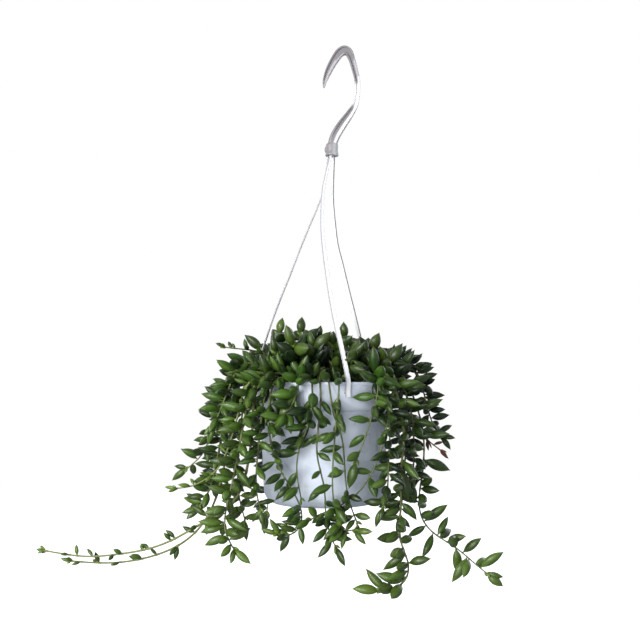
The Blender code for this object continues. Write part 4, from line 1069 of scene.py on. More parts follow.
# trailing stems: route, lean of the leaves, leaf length at root and tip, spacing of the leaves
trails = {
    "bead_chain": ([(-41, -10, -3), (-54, -15, 24), (-70, -20, 34), (-84, -24, 35), (-96, -25, 31),
                    (-103, -25, 36)], (-0.3, -0.4, 0.9), 13, 9, 10),
    "left_stub": ([(-50, -30, -10), (-64, -36, 16), (-79, -45, 25), (-88, -50, 14), (-93, -55, 0),
                   (-96, -55, -12), (-103, -55, -27), (-109, -52, -42)], (-0.9, -0.2, 0.3), 21, 17, 9),
    "left_light": ([(-42, -42, -13), (-57, -51, 13), (-71, -61, 8), (-80, -68, -12), (-84, -70, -31),
                    (-88, -70, -49), (-94, -68, -65), (-100, -66, -83), (-112, -60, -94), (-124, -56, -100),
                    (-139, -52, -108), (-148, -50, -105)], (-0.7, -0.3, 0.5), 18, 9, 17),
    "left_long": ([(-39, -50, -13), (-57, -58, 9), (-68, -66, 4), (-70, -73, -13), (-69, -75, -37),
                   (-70, -75, -56), (-73, -75, -73), (-76, -72, -93), (-81, -69, -107), (-88, -66, -120),
                   (-100, -63, -129), (-117, -60, -135), (-141, -60, -151), (-170, -60, -163),
                   (-204, -60, -168), (-229, -60, -171), (-252, -60, -168), (-274, -60, -164)],
                  (-0.5, -0.3, 0.8), 19, 8, 15),
    "left_long_low": ([(-46, 0, -3), (-70, 5, 14), (-88, 0, -12), (-97, -8, -50), (-103, -18, -90),
                       (-111, -32, -124), (-125, -42, -148), (-145, -48, -163), (-170, -50, -172),
                       (-200, -50, -178), (-228, -50, -178), (-250, -50, -176)],
                      (-0.6, -0.4, 0.6), 19, 8, 12),
    "left_thin": ([(-57, 10, -3), (-82, 10, 20), (-102, 6, -3), (-114, 0, -35), (-120, 0, -61),
                   (-125, 0, -77), (-133, 0, -85), (-143, 0, -90)], (-0.9, -0.1, 0.5), 19, 16, 12),
    "left_back": ([(-56, 24, -9), (-80, 29, 15), (-99, 30, -9), (-107, 27, -46), (-113, 22, -83),
                   (-118, 16, -112), (-130, 10, -130)], (-0.9, -0.1, 0.3), 19, 15, 11),
    "left_mass": ([(-47, -20, -3), (-70, -30, 14), (-87, -36, -2), (-98, -38, -31), (-105, -36, -61),
                   (-110, -34, -88), (-115, -34, -112), (-126, -34, -126)], (-0.9, -0.3, 0.3), 20, 16, 10),
    "left_inner": ([(-49, -35, -6), (-64, -45, 12), (-77, -52, -3), (-81, -54, -28), (-84, -53, -57),
                    (-86, -52, -87), (-85, -52, -115), (-78, -52, -136)], (-0.9, -0.2, 0.3), 20, 16, 10),
    "left_front": ([(-42, -55, -10), (-58, -62, 10), (-72, -73, -10), (-78, -80, -41), (-84, -84, -75),
                    (-89, -88, -103), (-95, -90, -126), (-97, -92, -144), (-85, -94, -157)],
                   (-0.8, -0.5, 0.2), 21, 18, 10),
    "left_edge": ([(-38, -58, -13), (-50, -66, 7), (-58, -76, -10), (-61, -84, -41), (-64, -86, -70),
                   (-66, -83, -94), (-66, -80, -112), (-61, -78, -123)], (-0.9, -0.3, 0.2), 19, 14, 12),
    "front_hook": ([(-34, -50, -14), (-45, -63, 9), (-52, -76, -4), (-54, -82, -25), (-54, -84, -48),
                    (-50, -83, -67), (-43, -81, -84), (-35, -79, -98), (-24, -76, -114), (-18, -75, -128),
                    (-20, -76, -141), (-30, -78, -150), (-40, -80, -152), (-45, -80, -145)],
                   (-0.9, -0.4, -0.1), 20, 14, 11),
    "front_plump": ([(-24, -40, -10), (-24, -62, 9), (-24, -77, -1), (-27, -84, -17), (-34, -88, -31),
                     (-42, -90, -37)], (-0.9, -0.4, -0.1), 23, 19, 9),
    "front_mid": ([(-18, -45, -10), (-14, -63, 9), (-11, -78, -6), (-11, -84, -22), (-14, -86, -41),
                   (-21, -87, -55), (-27, -85, -67), (-28, -83, -84), (-25, -81, -99), (-22, -80, -113)],
                  (-0.8, -0.5, -0.2), 21, 17, 10),
    "front_beads": ([(-9, -50, -10), (-6, -65, 9), (-3, -79, -8), (-4, -83, -34), (-8, -83, -56),
                     (-9, -82, -71), (-5, -81, -83), (0, -80, -95), (2, -79, -108), (1, -77, -122),
                     (2, -75, -138), (5, -73, -152), (11, -72, -159)], (0.1, -0.9, -0.1), 14, 16, 11),
    "front_diag": ([(2, -45, -10), (3, -64, 9), (5, -78, -8), (7, -83, -24), (12, -84, -37), (17, -84, -48),
                    (19, -83, -62), (19, -82, -80), (20, -80, -96), (22, -78, -111), (26, -76, -124),
                    (32, -76, -136)], (-0.8, -0.5, 0), 19, 15, 14),
    "front_right": ([(44, -35, -6), (52, -52, 14), (54, -68, -1), (52, -77, -17), (45, -83, -33),
                     (41, -85, -48), (36, -86, -62), (30, -86, -76)], (-0.9, -0.3, 0.1), 22, 19, 9),
    "pot_hug": ([(58, -28, -3), (70, -42, 15), (69, -60, -8), (63, -68, -35), (57, -73, -60), (51, -74, -77),
                 (45, -74, -92), (38, -73, -104), (26, -73, -114), (13, -74, -121), (-2, -75, -126),
                 (-14, -78, -132)], (-0.6, -0.6, -0.2), 18, 16, 21),
    "front_low": ([(14, -48, -10), (15, -64, 9), (14, -80, -12), (11, -87, -38), (9, -90, -65),
                   (7, -90, -89), (8, -86, -112), (11, -82, -131), (15, -80, -147), (22, -80, -149),
                   (29, -80, -141)], (-0.7, -0.6, -0.2), 18, 18, 12),
    "right_main": ([(37, -30, -3), (56, -42, 18), (71, -52, -2), (75, -57, -28), (78, -60, -42),
                    (80, -62, -54), (78, -62, -67), (75, -62, -81), (74, -62, -101), (76, -61, -120),
                    (75, -63, -132), (71, -65, -144), (70, -67, -154), (75, -69, -162), (83, -70, -171),
                    (86, -72, -183), (79, -74, -193), (70, -74, -200), (60, -74, -204), (53, -74, -200)],
                   (-0.8, -0.4, 0.1), 21, 20, 10),
    "right_long": ([(43, -10, 2), (66, -12, 23), (83, -14, 6), (90, -16, -8), (95, -18, -22), (99, -20, -37),
                    (103, -22, -54), (102, -24, -74), (101, -26, -91), (97, -28, -107), (94, -30, -121),
                    (95, -32, -135), (101, -34, -147), (113, -36, -155), (126, -38, -161), (136, -40, -165),
                    (141, -42, -173), (151, -44, -182), (161, -46, -189)], (0, -0.5, 0.5), 18, 20, 11),
    "right_outer": ([(40, 12, 4), (72, 16, 27), (95, 16, 17), (105, 16, -3), (109, 15, -21), (112, 14, -38),
                     (116, 13, -51), (124, 12, -58)], (0.8, -0.3, 0.3), 18, 15, 9),
    "right_dark": ([(39, -20, -3), (64, -28, 15), (80, -34, -2), (87, -38, -23), (90, -40, -43),
                    (90, -41, -63), (90, -42, -83), (88, -42, -102)], (0.3, -0.7, 0.1), 20, 17, 10),
    "right_inner": ([(30, -38, -8), (49, -56, 10), (60, -68, -6), (62, -74, -27), (64, -76, -52),
                     (62, -76, -74), (61, -75, -95), (63, -74, -110), (57, -73, -121)],
                    (-0.7, -0.5, -0.1), 19, 16, 12),
    "right_side": ([(37, 0, -1), (66, -2, 18), (78, -4, 0), (83, -6, -24), (85, -8, -49), (84, -10, -75),
                    (83, -12, -100), (81, -14, -120), (77, -16, -138)], (0.6, -0.6, 0), 18, 15, 11),
    "right_back": ([(37, 30, 4), (61, 40, 22), (80, 48, 2), (86, 52, -25), (88, 52, -58), (86, 50, -88)],
                   (0.7, 0.4, 0.1), 18, 15, 11),
    "right_top": ([(33, 20, 7), (60, 24, 31), (88, 27, 24), (102, 28, 10), (109, 28, -4)],
                  (0.6, -0.1, 0.7), 18, 14, 9),
}
withered = ([(44, 2, 2), (68, 4, 16), (84, 3, -2), (90, 1, -28), (94, -3, -48), (101, -7, -57),
             (112, -9, -64), (120, -9, -70)], (0.5, -0.5, -0.4), 8, 6, 16)

# stems behind the pot, by azimuth: length of the fall and reach from the axis
backTrails = {
    "back_a": (148, 96, 84),
    "back_b": (172, 132, 86),
    "back_c": (198, 78, 84),
    "back_d": (224, 146, 87),
}
backLeaf = (20, 17, 13)
backLook = {
    "start": ((40, -8), (62, 16)),    # reach and height of the first two points
    "shares": (0.0, 0.3, 0.6, 1.0),   # of the fall
    "sway": 5,
    "flare": 4,
    "from": 6,                        # under the rim
    "lean": -0.2,
}

# short upright shoots of the crown: root and tip
tufts = [
    ((-34, -24), (-50, -38, 30)), ((-24, -38), (-31, -52, 36)), ((-38, -4), (-47, -12, 50)),
    ((-20, -12), (-25, -18, 50)), ((-8, -32), (-12, -47, 34)), ((-4, 2), (-6, -4, 46)),
    ((8, -20), (8, -34, 38)), ((12, 8), (22, 4, 46)), ((20, -32), (28, -46, 22)),
    ((32, -10), (43, -17, 30)), ((36, 16), (50, 15, 32)), ((46, -26), (63, -32, 18)),
    ((28, 34), (38, 46, 34)), ((-28, 28), (-40, 38, 40)), ((2, 34), (0, 50, 42)), ((-44, 14), (-66, 20, 34)),
]
tuftLeaf = (22, 21, 6)
tuftLook = {"root": -12, "bow": 6, "rise": 26}


def outerRadius(height):
    # radius of the pot's outside at a height below the rim
    size = wallSizes
    if height > -size["lipHeight"]:
        return size["rimRadius"]
    if height > -size["bandHeight"]:
        share = -height / size["bandHeight"]
        return size["bandRadius"] + (size["bandFootRadius"] - size["bandRadius"]) * share
    corner = -size["height"] + size["cornerRadius"]
    fall = size["height"] - size["cornerRadius"] - size["bandHeight"]
    share = min(1.0, (-height - size["bandHeight"]) / fall)
    radius = size["bodyRadius"] + (size["bodyFootRadius"] - size["bodyRadius"]) * share
    if height < corner:
        drop = min(corner - height, size["cornerRadius"])
        radius -= size["cornerRadius"] - math.sqrt(size["cornerRadius"] ** 2 - drop ** 2)
    return radius


def rootOf(point):
    flat = Vector((point.x, point.y, 0))
    if flat.length > growth["rootRing"]:
        flat = flat.normalized() * growth["rootRing"]
    return flat


def trailStem(name, points, lean, first, last, spacing):
    return ("trail_" + name, [Vector(point) * mm for point in points], Vector(lean), first, last, spacing)


def allStems():
    # name, route from the first point over the soil, lean, leaf length at root and tip, and leaf spacing
    stems = [trailStem(name, *values) for name, values in trails.items()]
    for name, (azimuth, fall, reach) in backTrails.items():
        look = backLook
        draw = random.Random(name)
        outward = directionAt(azimuth)
        points = [outward * near * mm + Vector((0, 0, height)) * mm for near, height in look["start"]]
        for share in look["shares"]:
            sway = directionAt(azimuth + draw.uniform(-look["sway"], look["sway"]))
            height = -look["from"] - (fall - look["from"]) * share
            points.append(sway * (reach + look["flare"] * share) * mm + Vector((0, 0, height)) * mm)
        stems.append(("trail_" + name, points, outward + Vector((0, 0, look["lean"])), *backLeaf))
    for index, (root, tip) in enumerate(tufts):
        start = Vector((*root, tuftLook["root"])) * mm
        end = Vector(tip) * mm
        middle = start.lerp(end, 0.5) + Vector((0, 0, tuftLook["bow"])) * mm
        lean = Vector((tip[0] - root[0], tip[1] - root[1], tuftLook["rise"])).normalized()
        stems.append(("shoot_%02d" % (index + 1), [start, middle, end], lean, *tuftLeaf))
    return stems + [trailStem("withered", *withered)]


def spreadRoots(stems):
    roots = [rootOf(stem[1][0]) for stem in stems]
    for _ in range(growth["rootRounds"]):
        for index, root in enumerate(roots):
            for other in roots[:index]:
                apart = root - other
                if apart.length < growth["rootSpacing"]:
                    push = apart.normalized() * (growth["rootSpacing"] - apart.length) / 2
                    root += push
                    other -= push
            if root.length > growth["rootRing"]:
                root *= growth["rootRing"] / root.length
    return roots


def keepOffPot(point, margin):
    # moves a point out of the pot's wall and clear of its rim
    radius = math.hypot(point.x, point.y)
    inner = wallSizes["bandRadius"] - wallSizes["wall"] - margin - growth["wallClearance"]
    outer = outerRadius(point.z) + margin
    if point.z > margin + growth["rimClearance"] or radius < inner or radius > outer:
        return
    if point.z > -growth["rimZone"]:
        point.z = margin + growth["rimClearance"]
        return
    scale = outer / radius
    point.x *= scale
    point.y *= scale


def tapePoints():
    points = []
    for azimuth, route in tapes.values():
        points += evenRoute(tapeRoute(azimuth, route, growth["tapeStep"]), growth["tapeSpots"])
    return points


def settleStems(stems, roots, tapeLine):
    # smooth routes from root to tip, eased apart until no two touch, nor a tape nor the pot
    routes = []
    for stem, root in zip(stems, roots):
        start = root + Vector((0, 0, -soilDrop - growth["rootDepth"] + growth["rootEndGap"]))
        over = root + Vector((0, 0, -soilDrop + growth["overSoil"]))
        routes.append([start, root + Vector((0, 0, -soilDrop + growth["atSoil"]))]
                      + smoothRoute([over] + stem[1][1:], growth["stemStep"]))
    tapeTree = pointTree(tapeLine)
    reach = tapeWidth / 2 + growth["stemRadius"] + growth["tapeClearance"]
    for _ in range(growth["routeRounds"]):
        owners = [(owner, place) for owner, route in enumerate(routes) for place in range(len(route))]
        tree = pointTree([routes[owner][place] for owner, place in owners])
        for owner, route in enumerate(routes):
            for place in range(3, len(route)):
                point = route[place].copy()
                for near, index, gap in tree.find_range(point, growth["stemClearance"]):
                    if owners[index][0] != owner and gap > 1e-7:
                        point += (point - near) / gap * (growth["stemClearance"] - gap) * growth["push"]
                near, _, gap = tapeTree.find(point)
                if gap < reach:
                    point += (point - near).normalized() * (reach - gap)
                if place < len(route) - 1:
                    point = point.lerp((route[place - 1] + route[place + 1]) / 2, growth["routeEasing"])
                keepOffPot(point, growth["stemRadius"] + growth["wallClearance"])
                route[place] = point
    knots = [route[:2] + route[2:-1:growth["stemKnotEvery"]] + route[-1:] for route in routes]
    for _ in range(growth["chordRounds"]):
        partChords(knots)
        for route in knots:
            liftOverPot(route)
    return knots


def shiftChord(route, place, share, move):
    # moves a point on a straight run by moving the run's two ends; roots stay put
    for end, weight in ((place, 1 - share), (place + 1, share)):
        if end > 2:
            route[end] = route[end] + move * weight


def partChords(knots):
    # straight runs of different stems that still come too close are moved apart
    samples = [(owner, place, share) for owner, route in enumerate(knots)
               for place in range(1, len(route) - 1) for share in growth["chordShares"]]
    spots = [knots[owner][place].lerp(knots[owner][place + 1], share) for owner, place, share in samples]
    tree = pointTree(spots)
    apart = 2 * growth["stemRadius"] + growth["chordClearance"]
    for index, (owner, place, share) in enumerate(samples):
        for near, other, gap in tree.find_range(spots[index], apart):
            if samples[other][0] != owner and gap > 1e-7:
                push = (spots[index] - near) / gap * (apart - gap) * growth["chordPush"]
                shiftChord(knots[owner], place, share, push)


def liftOverPot(route):
    # straight runs may still cut the pot, so their ends move out with them
    for place in range(2, len(route) - 1):
        for share in growth["chordShares"]:
            wanted = route[place].lerp(route[place + 1], share)
            kept = wanted.copy()
            keepOffPot(kept, growth["stemRadius"] + growth["potRoom"])
            shiftChord(route, place, share, (kept - wanted) * growth["potPush"])


def leafSpheres(base, aim, length, radius):
    # balls along a leaf that hold its outline, from past its stalk to its tip
    return [(base + aim * length * place, radius * size) for place, size in growth["leafBalls"]]


def ballsOf(leaf):
    return leafSpheres(leaf["base"], leaf["aim"], leaf["length"], leaf["radius"])


def leafFits(spheres, owner, room, grown, gap, crowding):
    tree, sizes, widest = room["tree"], room["sizes"], room["widest"]
    inside = wallSizes["bandRadius"] - wallSizes["wall"] - growth["rimRoom"]
    for centre, size in spheres:
        radius = math.hypot(centre.x, centre.y)
        if centre.z < size + growth["leafGap"] and radius + size > inside:
            if radius - size < outerRadius(centre.z) + growth["wallRoom"]:
                return False
        if radius < wallSizes["rimRadius"] and centre.z - size < -soilDrop + growth["soilRoom"]:
            return False
        for _, index, apart in tree.find_range(centre, size + widest + max(gap, 0)):
            other, otherSize = sizes[index]
            if other != owner and apart < size + otherSize + gap:
                return False
    for centre, size in spheres[1:]:
        for other, otherSize in grown:
            if (other - centre).length < (size + otherSize) * crowding:
                return False
    return True


def leafOn(stem, route, lengths, spot, isTip, turn, length, radius, fits, ease=1.0):
    # the first way to set a leaf at this spot that fits
    name, _, lean, _, _, _ = stem
    pull = (growth["leanOfTrails"] if name.startswith("trail") else growth["leanOfShoots"]) * ease
    place = max(index for index, reached in enumerate(lengths[:-1]) if reached <= spot)
    start, stop = route[place], route[place + 1]
    share = (spot - lengths[place]) / (stop - start).length
    base = start.lerp(stop, share)
    tangent = (stop - start).normalized()
    side = tangent.orthogonal().normalized()
    other = tangent.cross(side)
    for attempt in range(growth["leafTries"]):
        swing = turn + (attempt + 1) // 2 * (-1) ** attempt * growth["swingStep"]
        spread = side * math.cos(swing) + other * math.sin(swing)
        aim = (lean * pull + spread * growth["outward"] + tangent * growth["forward"]).normalized()
        if isTip:
            aim = (tangent + spread * growth["tipSpread"] * attempt
                   + lean * growth["tipLean"] * attempt).normalized()
        shrink = 1.0 if attempt < growth["firmTries"] else growth["shortLeaf"]
        if abs(aim.dot(tangent)) > growth["endOn"] and not isTip:
            continue
        if fits(leafSpheres(base, aim, length * shrink, radius * shrink)):
            return {"base": base, "aim": aim, "length": length * shrink, "radius": radius * shrink,
                    "knot": place, "share": share, "way": spot / lengths[-1]}
    return None


def growLeaves(owner, stem, route, spots, draw, room, grown, gap, crowding, bounded=False):
    lengths = routeLengths(route)
    name, _, _, first, last, _ = stem
    turn = room["turn"]
    leaves = []
    for spot in spots:
        way = spot / lengths[-1]
        length = (first + (last - first) * way) * mm * draw.uniform(*growth["lengthSpread"])
        radius = length * draw.uniform(*growth["leafFatness"])
        turn += growth["goldenAngle"]

        def fits(spheres):
            if not leafFits(spheres, owner, room, grown, gap, crowding):
                return False
            if not bounded:
                return True
            return not (outsideSolids(spheres) or name != "trail_withered" and overBare(spheres))

        leaf = leafOn(stem, route, lengths, spot, spot == room["tip"], turn, length, radius, fits,
                      filling["ease"] if bounded else 1.0)
        if leaf:
            leaves.append(leaf)
            grown += ballsOf(leaf)[1:]
    return leaves


def leafSpots(stem, route, spacing, draw):
    name = stem[0]
    lengths = routeLengths(route)
    along = soilDrop + growth["rootDepth"] if name.startswith("trail") else soilDrop
    spots = []
    while along < lengths[-1] - growth["tipRoom"]:
        spots.append(along)
        along += spacing * mm * draw.uniform(*growth["spacingSpread"])
    spots.append(lengths[-1] - growth["tipBack"])
    return spots


def roomOf(points, sizes):
    return {"tree": pointTree(points), "sizes": sizes, "widest": max(size for _, size in sizes)}


def placeLeaves(stems, routes, tapeLine):
    # each stem's leaves, none through another stem, leaf, tape or the pot
    points = list(tapeLine)
    sizes = [(-1, tapeWidth / 2)] * len(points)
    for owner, route in enumerate(routes):
        rememberStem(route, owner, growth["stemRadius"] * growth["stemBall"], points, sizes)
    placed = []
    for owner, (stem, route) in enumerate(zip(stems, routes)):
        room = roomOf(points, sizes)
        draw = random.Random(stem[0])
        room["turn"] = draw.uniform(0, math.tau)
        spots = leafSpots(stem, route, stem[5] * growth["leafSpacing"], draw)
        room["tip"] = spots[-1]
        leaves = growLeaves(owner, stem, route, spots, draw, room, [], growth["leafGap"],
                            growth["leafCrowding"])
        rememberLeaves(leaves, owner, points, sizes)
        placed.append(leaves)
    return placed, points, sizes


def rememberStem(route, owner, radius, points, sizes):
    balls = evenRoute(route, growth["ballStep"])
    points.extend(balls)
    sizes.extend([(owner, radius)] * len(balls))


def rememberLeaves(leaves, owner, points, sizes):
    for leaf in leaves:
        for centre, size in ballsOf(leaf):
            points.append(centre)
            sizes.append((owner, size))


# More leaves than the solids hold, set between theirs

# What sets a stem apart, over what is usual for all and for its kind:
# spacing: of the added leaves, as a share of the stem's own leaf spacing
# tail: whether its leaves stand closer near the tip
# stretch: its fine leaves' length and width next to the solids', which are kept short of each other
# unruly: how far a fine leaf turns from the solid leaf's aim
# tone: how light its leaves are; 0 is deep green and 1 fresh green; partly the leaves' own green and partly
# painted shade, deeper on the right-hand stems and in the crown
# pale, skin: how pale its leaves are beyond that, and its own skin
# thick: how thick it is next to the others
stemTraits = {
    "usual": {"tail": False, "pale": 0.0, "skin": 0.1, "thick": 1.0},
    "trail": {"spacing": 0.62, "stretch": (1.2, 0.98), "unruly": 0.26, "tone": 0.5},
    "shoot": {"spacing": 1.25, "stretch": (1.26, 1.22), "unruly": 0.34, "tone": 0.27},
    "crown": {"spacing": 1.25, "stretch": (1.25, 1.16), "unruly": 0.34, "tone": 0.2},
    "trail_bead_chain": {"spacing": 1.4, "stretch": (1.0, 1.0)},
    "trail_left_stub": {"tone": 0.65},
    "trail_left_light": {"spacing": 1.1, "stretch": (1.2, 0.85), "tone": 0.95, "pale": 0.3, "skin": 0.5},
    "trail_left_long": {"spacing": 2.2, "stretch": (1.05, 0.9), "tone": 0.55, "pale": 0.1, "skin": 0.75,
                        "thick": 1.35},
    "trail_left_long_low": {"spacing": 3.0, "pale": 0.1, "skin": 0.7, "thick": 1.3},
    "trail_left_thin": {"tone": 0.7, "pale": 0.05},
    "trail_left_mass": {"pale": 0.06},
    "trail_left_inner": {"tail": True, "pale": 0.08},
    "trail_left_front": {"tail": True, "tone": 0.6, "pale": 0.15, "skin": 0.4},
    "trail_front_hook": {"spacing": 0.9, "tail": True, "stretch": (1.28, 0.95)},
    "trail_front_plump": {"stretch": (1.3, 1.1), "tone": 0.7},
    "trail_front_mid": {"spacing": 0.6, "tail": True, "stretch": (1.25, 1.0), "tone": 0.28},
    "trail_front_beads": {"spacing": 1.0, "tail": True, "stretch": (1.2, 0.92), "tone": 0.35},
    "trail_front_diag": {"spacing": 2.4, "tail": True, "tone": 0.4},
    "trail_front_right": {"spacing": 1.0, "stretch": (1.25, 1.0), "tone": 0.6},
    "trail_pot_hug": {"spacing": 2.4, "tail": True, "tone": 0.75},
    "trail_front_low": {"spacing": 1.5, "tail": True, "pale": 0.1},
    # the right-hand stems are set deep, partly their own green and partly painted shade away from the light
    "trail_right_main": {"spacing": 0.75, "stretch": (1.25, 1.0), "tone": 0.3, "pale": 0.18, "skin": 0.5,
                         "thick": 1.25},
    "trail_right_long": {"spacing": 0.9, "stretch": (1.32, 1.02), "pale": 0.12},
    "trail_right_outer": {"tone": 0.12},
    "trail_right_dark": {"tone": 0.0},
    "trail_right_inner": {"tone": 0.12},
    "trail_right_side": {"tone": 0.0},
    "trail_right_back": {"tone": 0.0},
    "trail_right_top": {"tone": 0.15},
    "trail_withered": {"spacing": 0.35, "stretch": (1.9, 1.7)},
}

filling = {
    "tailFrom": 0.82,      # share of the way down from which a tail's leaves stand closer
    "tailSpacing": 0.42,
    "crowding": 0.62,
    "touch": -1.1 * mm,    # leaves of different stems may press this far into each other's balls
    "inset": 0.4 * mm,     # kept to the sides of the solids' box
    "turn": 1.1,
    "ease": 0.6,           # how much of the stem's lean these leaves follow
    # places the photo shows bare: x from and to, z from and to, and how far forward
    "bare": ((-24, 20, -18, -3, -60), (20, 49, -37, -3, -60), (-38, 20, -115, -66, -60),
             (6, 54, -95, -40, -60), (90, 122, -76, -52, 0)),
}

# extra short shoots that close the crown over the soil
crownFill = {
    "count": 32,
    "reach": 56,
    "height": (8, 30),
    "splay": 1.16,
    "stray": 6,            # how far the tip and the middle are drawn aside
    "bow": 4,
    "lift": 3,
    "overSoil": 4,
    "rise": 30,
    "tries": 12,           # for each shoot, before the filling stops
    "leaf": (21, 19, 5.5),
    "clearance": 2.9 * mm,
    "seed": 23,
}


def traitsOf(name):
    return {**stemTraits["usual"], **stemTraits[name.split("_")[0]], **stemTraits.get(name, {})}


def overBare(spheres):
    # in front of a part of the pot, or of the withered stem, that stays in sight
    for centre, _ in spheres[1:5]:
        x, y, z = centre / mm
        for left, right, low, high, front in filling["bare"]:
            if left < x < right and low < z < high and y < front:
                return True
    return False


def outsideSolids(spheres):
    low, high = cadBox
    for centre, size in spheres:
        for axis in range(3):
            reach = centre[axis] + rimCentre[axis]
            if reach - size < low[axis] + filling["inset"] or reach + size > high[axis] - filling["inset"]:
                return True
    return False


def crownShoots(points, sizes):
    # short stems from the soil that stay clear of every other stem and of the tapes
    size = crownFill
    draw = random.Random(size["seed"])
    stemPoints = [point for point, (owner, thick) in zip(points, sizes)
                  if owner == -1 or thick == growth["stemRadius"] * growth["stemBall"]]
    shoots = []
    routes = []
    stray, bowing = (-size["stray"], size["stray"]), (-size["bow"], size["bow"])
    for _ in range(size["count"] * size["tries"]):
        reach, turn = size["reach"] * math.sqrt(draw.random()), draw.uniform(0, math.tau)
        root = Vector((reach * math.cos(turn), reach * math.sin(turn), 0))
        tip = Vector([draw.uniform(*span) for span in (stray, stray, size["height"])])
        tip += root * size["splay"]
        bow = Vector((draw.uniform(*bowing), draw.uniform(*bowing), size["lift"]))
        bow += root.lerp(tip, 0.5)
        foot = Vector((root.x, root.y, (-soilDrop - growth["rootDepth"]) / mm))
        neck = Vector((root.x, root.y, -soilDrop / mm + size["overSoil"]))
        route = smoothRoute([point * mm for point in (foot, neck, bow, tip)], growth["stemStep"])
        balls = evenRoute(route, growth["ballStep"])
        tree = pointTree(stemPoints)
        if min(tree.find(point)[2] for point in balls) < size["clearance"]:
            continue
        lean = Vector((root.x, root.y, size["rise"])).normalized()
        shoots.append(("crown_%02d" % len(shoots), [], lean, *size["leaf"]))
        routes.append(route)
        stemPoints += balls
        if len(shoots) == size["count"]:
            break
    return shoots, routes


def fillLeaves(stems, routes, placed, points, sizes):
    for owner, (stem, route, leaves) in enumerate(zip(stems, routes, placed)):
        room = roomOf(points, sizes)
        draw = random.Random(stem[0] + " more")
        room["turn"] = filling["turn"]
        traits = traitsOf(stem[0])
        spots = leafSpots(stem, route, stem[5] * traits["spacing"], draw)
        if traits["tail"]:
            start = spots[-1] * filling["tailFrom"]
            close = leafSpots(stem, route, stem[5] * filling["tailSpacing"], draw)
            spots = [spot for spot in spots if spot < start] + [spot for spot in close if spot >= start]
        room["tip"] = spots[-1]
        grown = []
        for leaf in leaves:
            grown += ballsOf(leaf)[1:]
        more = growLeaves(owner, stem, route, spots, draw, room, grown, filling["touch"],
                          filling["crowding"], bounded=True)
        rememberLeaves(more, owner, points, sizes)
        leaves += more


# Fine leaves and stems

leafLook = {
    "sides": 12,
    # place along the leaf and share of its full radius
    "outline": ((0.0, 0.13), (0.05, 0.14), (0.11, 0.3), (0.19, 0.6), (0.29, 0.85), (0.4, 0.98), (0.51, 1.0),
                (0.62, 0.93), (0.72, 0.78), (0.82, 0.54), (0.9, 0.29), (0.955, 0.11), (0.99, 0.05)),
    "flatness": 0.86,      # thickness over width
    "furrow": 0.06,        # depth of the channel down the upper side
    "arch": (-0.045, 0.06),
    "roll": 1.5,
    "dents": 7,            # how fine a withered leaf's dents are along it
}

# where a longer leaf would leave the solids' box, it is stretched by less, and at last a little shortened
stretchShares = (1.0, 0.75, 0.5, 0.25, 0.0, -0.25)
# no rising leaf's tip stands higher over the rim than a height drawn from here; it is cut short instead
crownTop = (40 * mm, 62 * mm)
cropping = {"rising": 0.2, "least": 0.6, "thinnest": 0.35}

stemLook = {
    "sides": 8,
    "step": 1.7 * mm,
    "ticks": 10,
    "radius": 1.1 * mm,
    "tipShare": 0.55,
    "knuckle": 0.35,       # swelling where a leaf leaves the stem
    "knuckleLength": 1.3 * mm,
    "dome": 0.6,           # of the tip, over its radius
}

# young leaves that stand round each growing tip, each a step further behind it
budLook = {
    "count": 3,
    "length": (4.5 * mm, 8 * mm),
    "fatness": 0.2,
    "spread": 0.7,
    "swing": 0.4,
    "back": 2.2 * mm,
    "steps": (0.4, 0.5),   # the first leaf's share of that distance, and what each next one adds
}

toneSpread = (-0.45, 0.42)   # from a stem's own tone to its leaves'
# leaves turn paler from this share of the way on, and some are paler anywhere
youthLook = {"from": 0.8, "atRoot": 0.4, "spread": (-0.5, 0.3), "most": 0.8, "bud": 0.85}
# painted shade: leaves further back, and those deep in the crown, are painted a deeper green
depthShade = {"amount": 0.36, "range": (-58 * mm, 0), "under": 0.45, "crown": (4 * mm, 42 * mm)}
withering = {"shrivel": 0.8, "crumple": 0.28, "flatness": 0.6}


def newShell():
    return {"points": [], "faces": [], "finishes": [],
            "leafAlong": [], "leafAround": [], "leafTone": [], "leafYouth": []}


def addRings(shell, rings, alongs, tone, youth, finish, tip):
    # rings of equal count, closed by a fan at each end
    sides = len(rings[0])
    first = len(shell["points"])
    for ring, along in zip(rings, alongs):
        shell["points"] += [point[:] for point in ring]
        shell["leafAlong"] += [along] * sides
        shell["leafAround"] += [math.cos(math.tau * corner / sides) for corner in range(sides)]
    ends = (sum(rings[0], Vector()) / sides, tip)
    shell["points"] += [end[:] for end in ends]
    shell["leafAlong"] += [alongs[0], 1.0]
    shell["leafAround"] += [0.0, 0.0]
    count = len(rings) * sides + 2
    shell["leafTone"] += [tone] * count
    shell["leafYouth"] += [youth] * count
    faces = []
    for corner in range(sides):
        after = (corner + 1) % sides
        faces.append((first + after, first + corner, first + count - 2))
        last = first + (len(rings) - 1) * sides
        faces.append((last + corner, last + after, first + count - 1))
        for ring in range(len(rings) - 1):
            low = first + ring * sides
            faces.append((low + corner, low + after, low + sides + after, low + sides + corner))
    shell["faces"] += faces
    shell["finishes"] += [finish] * len(faces)


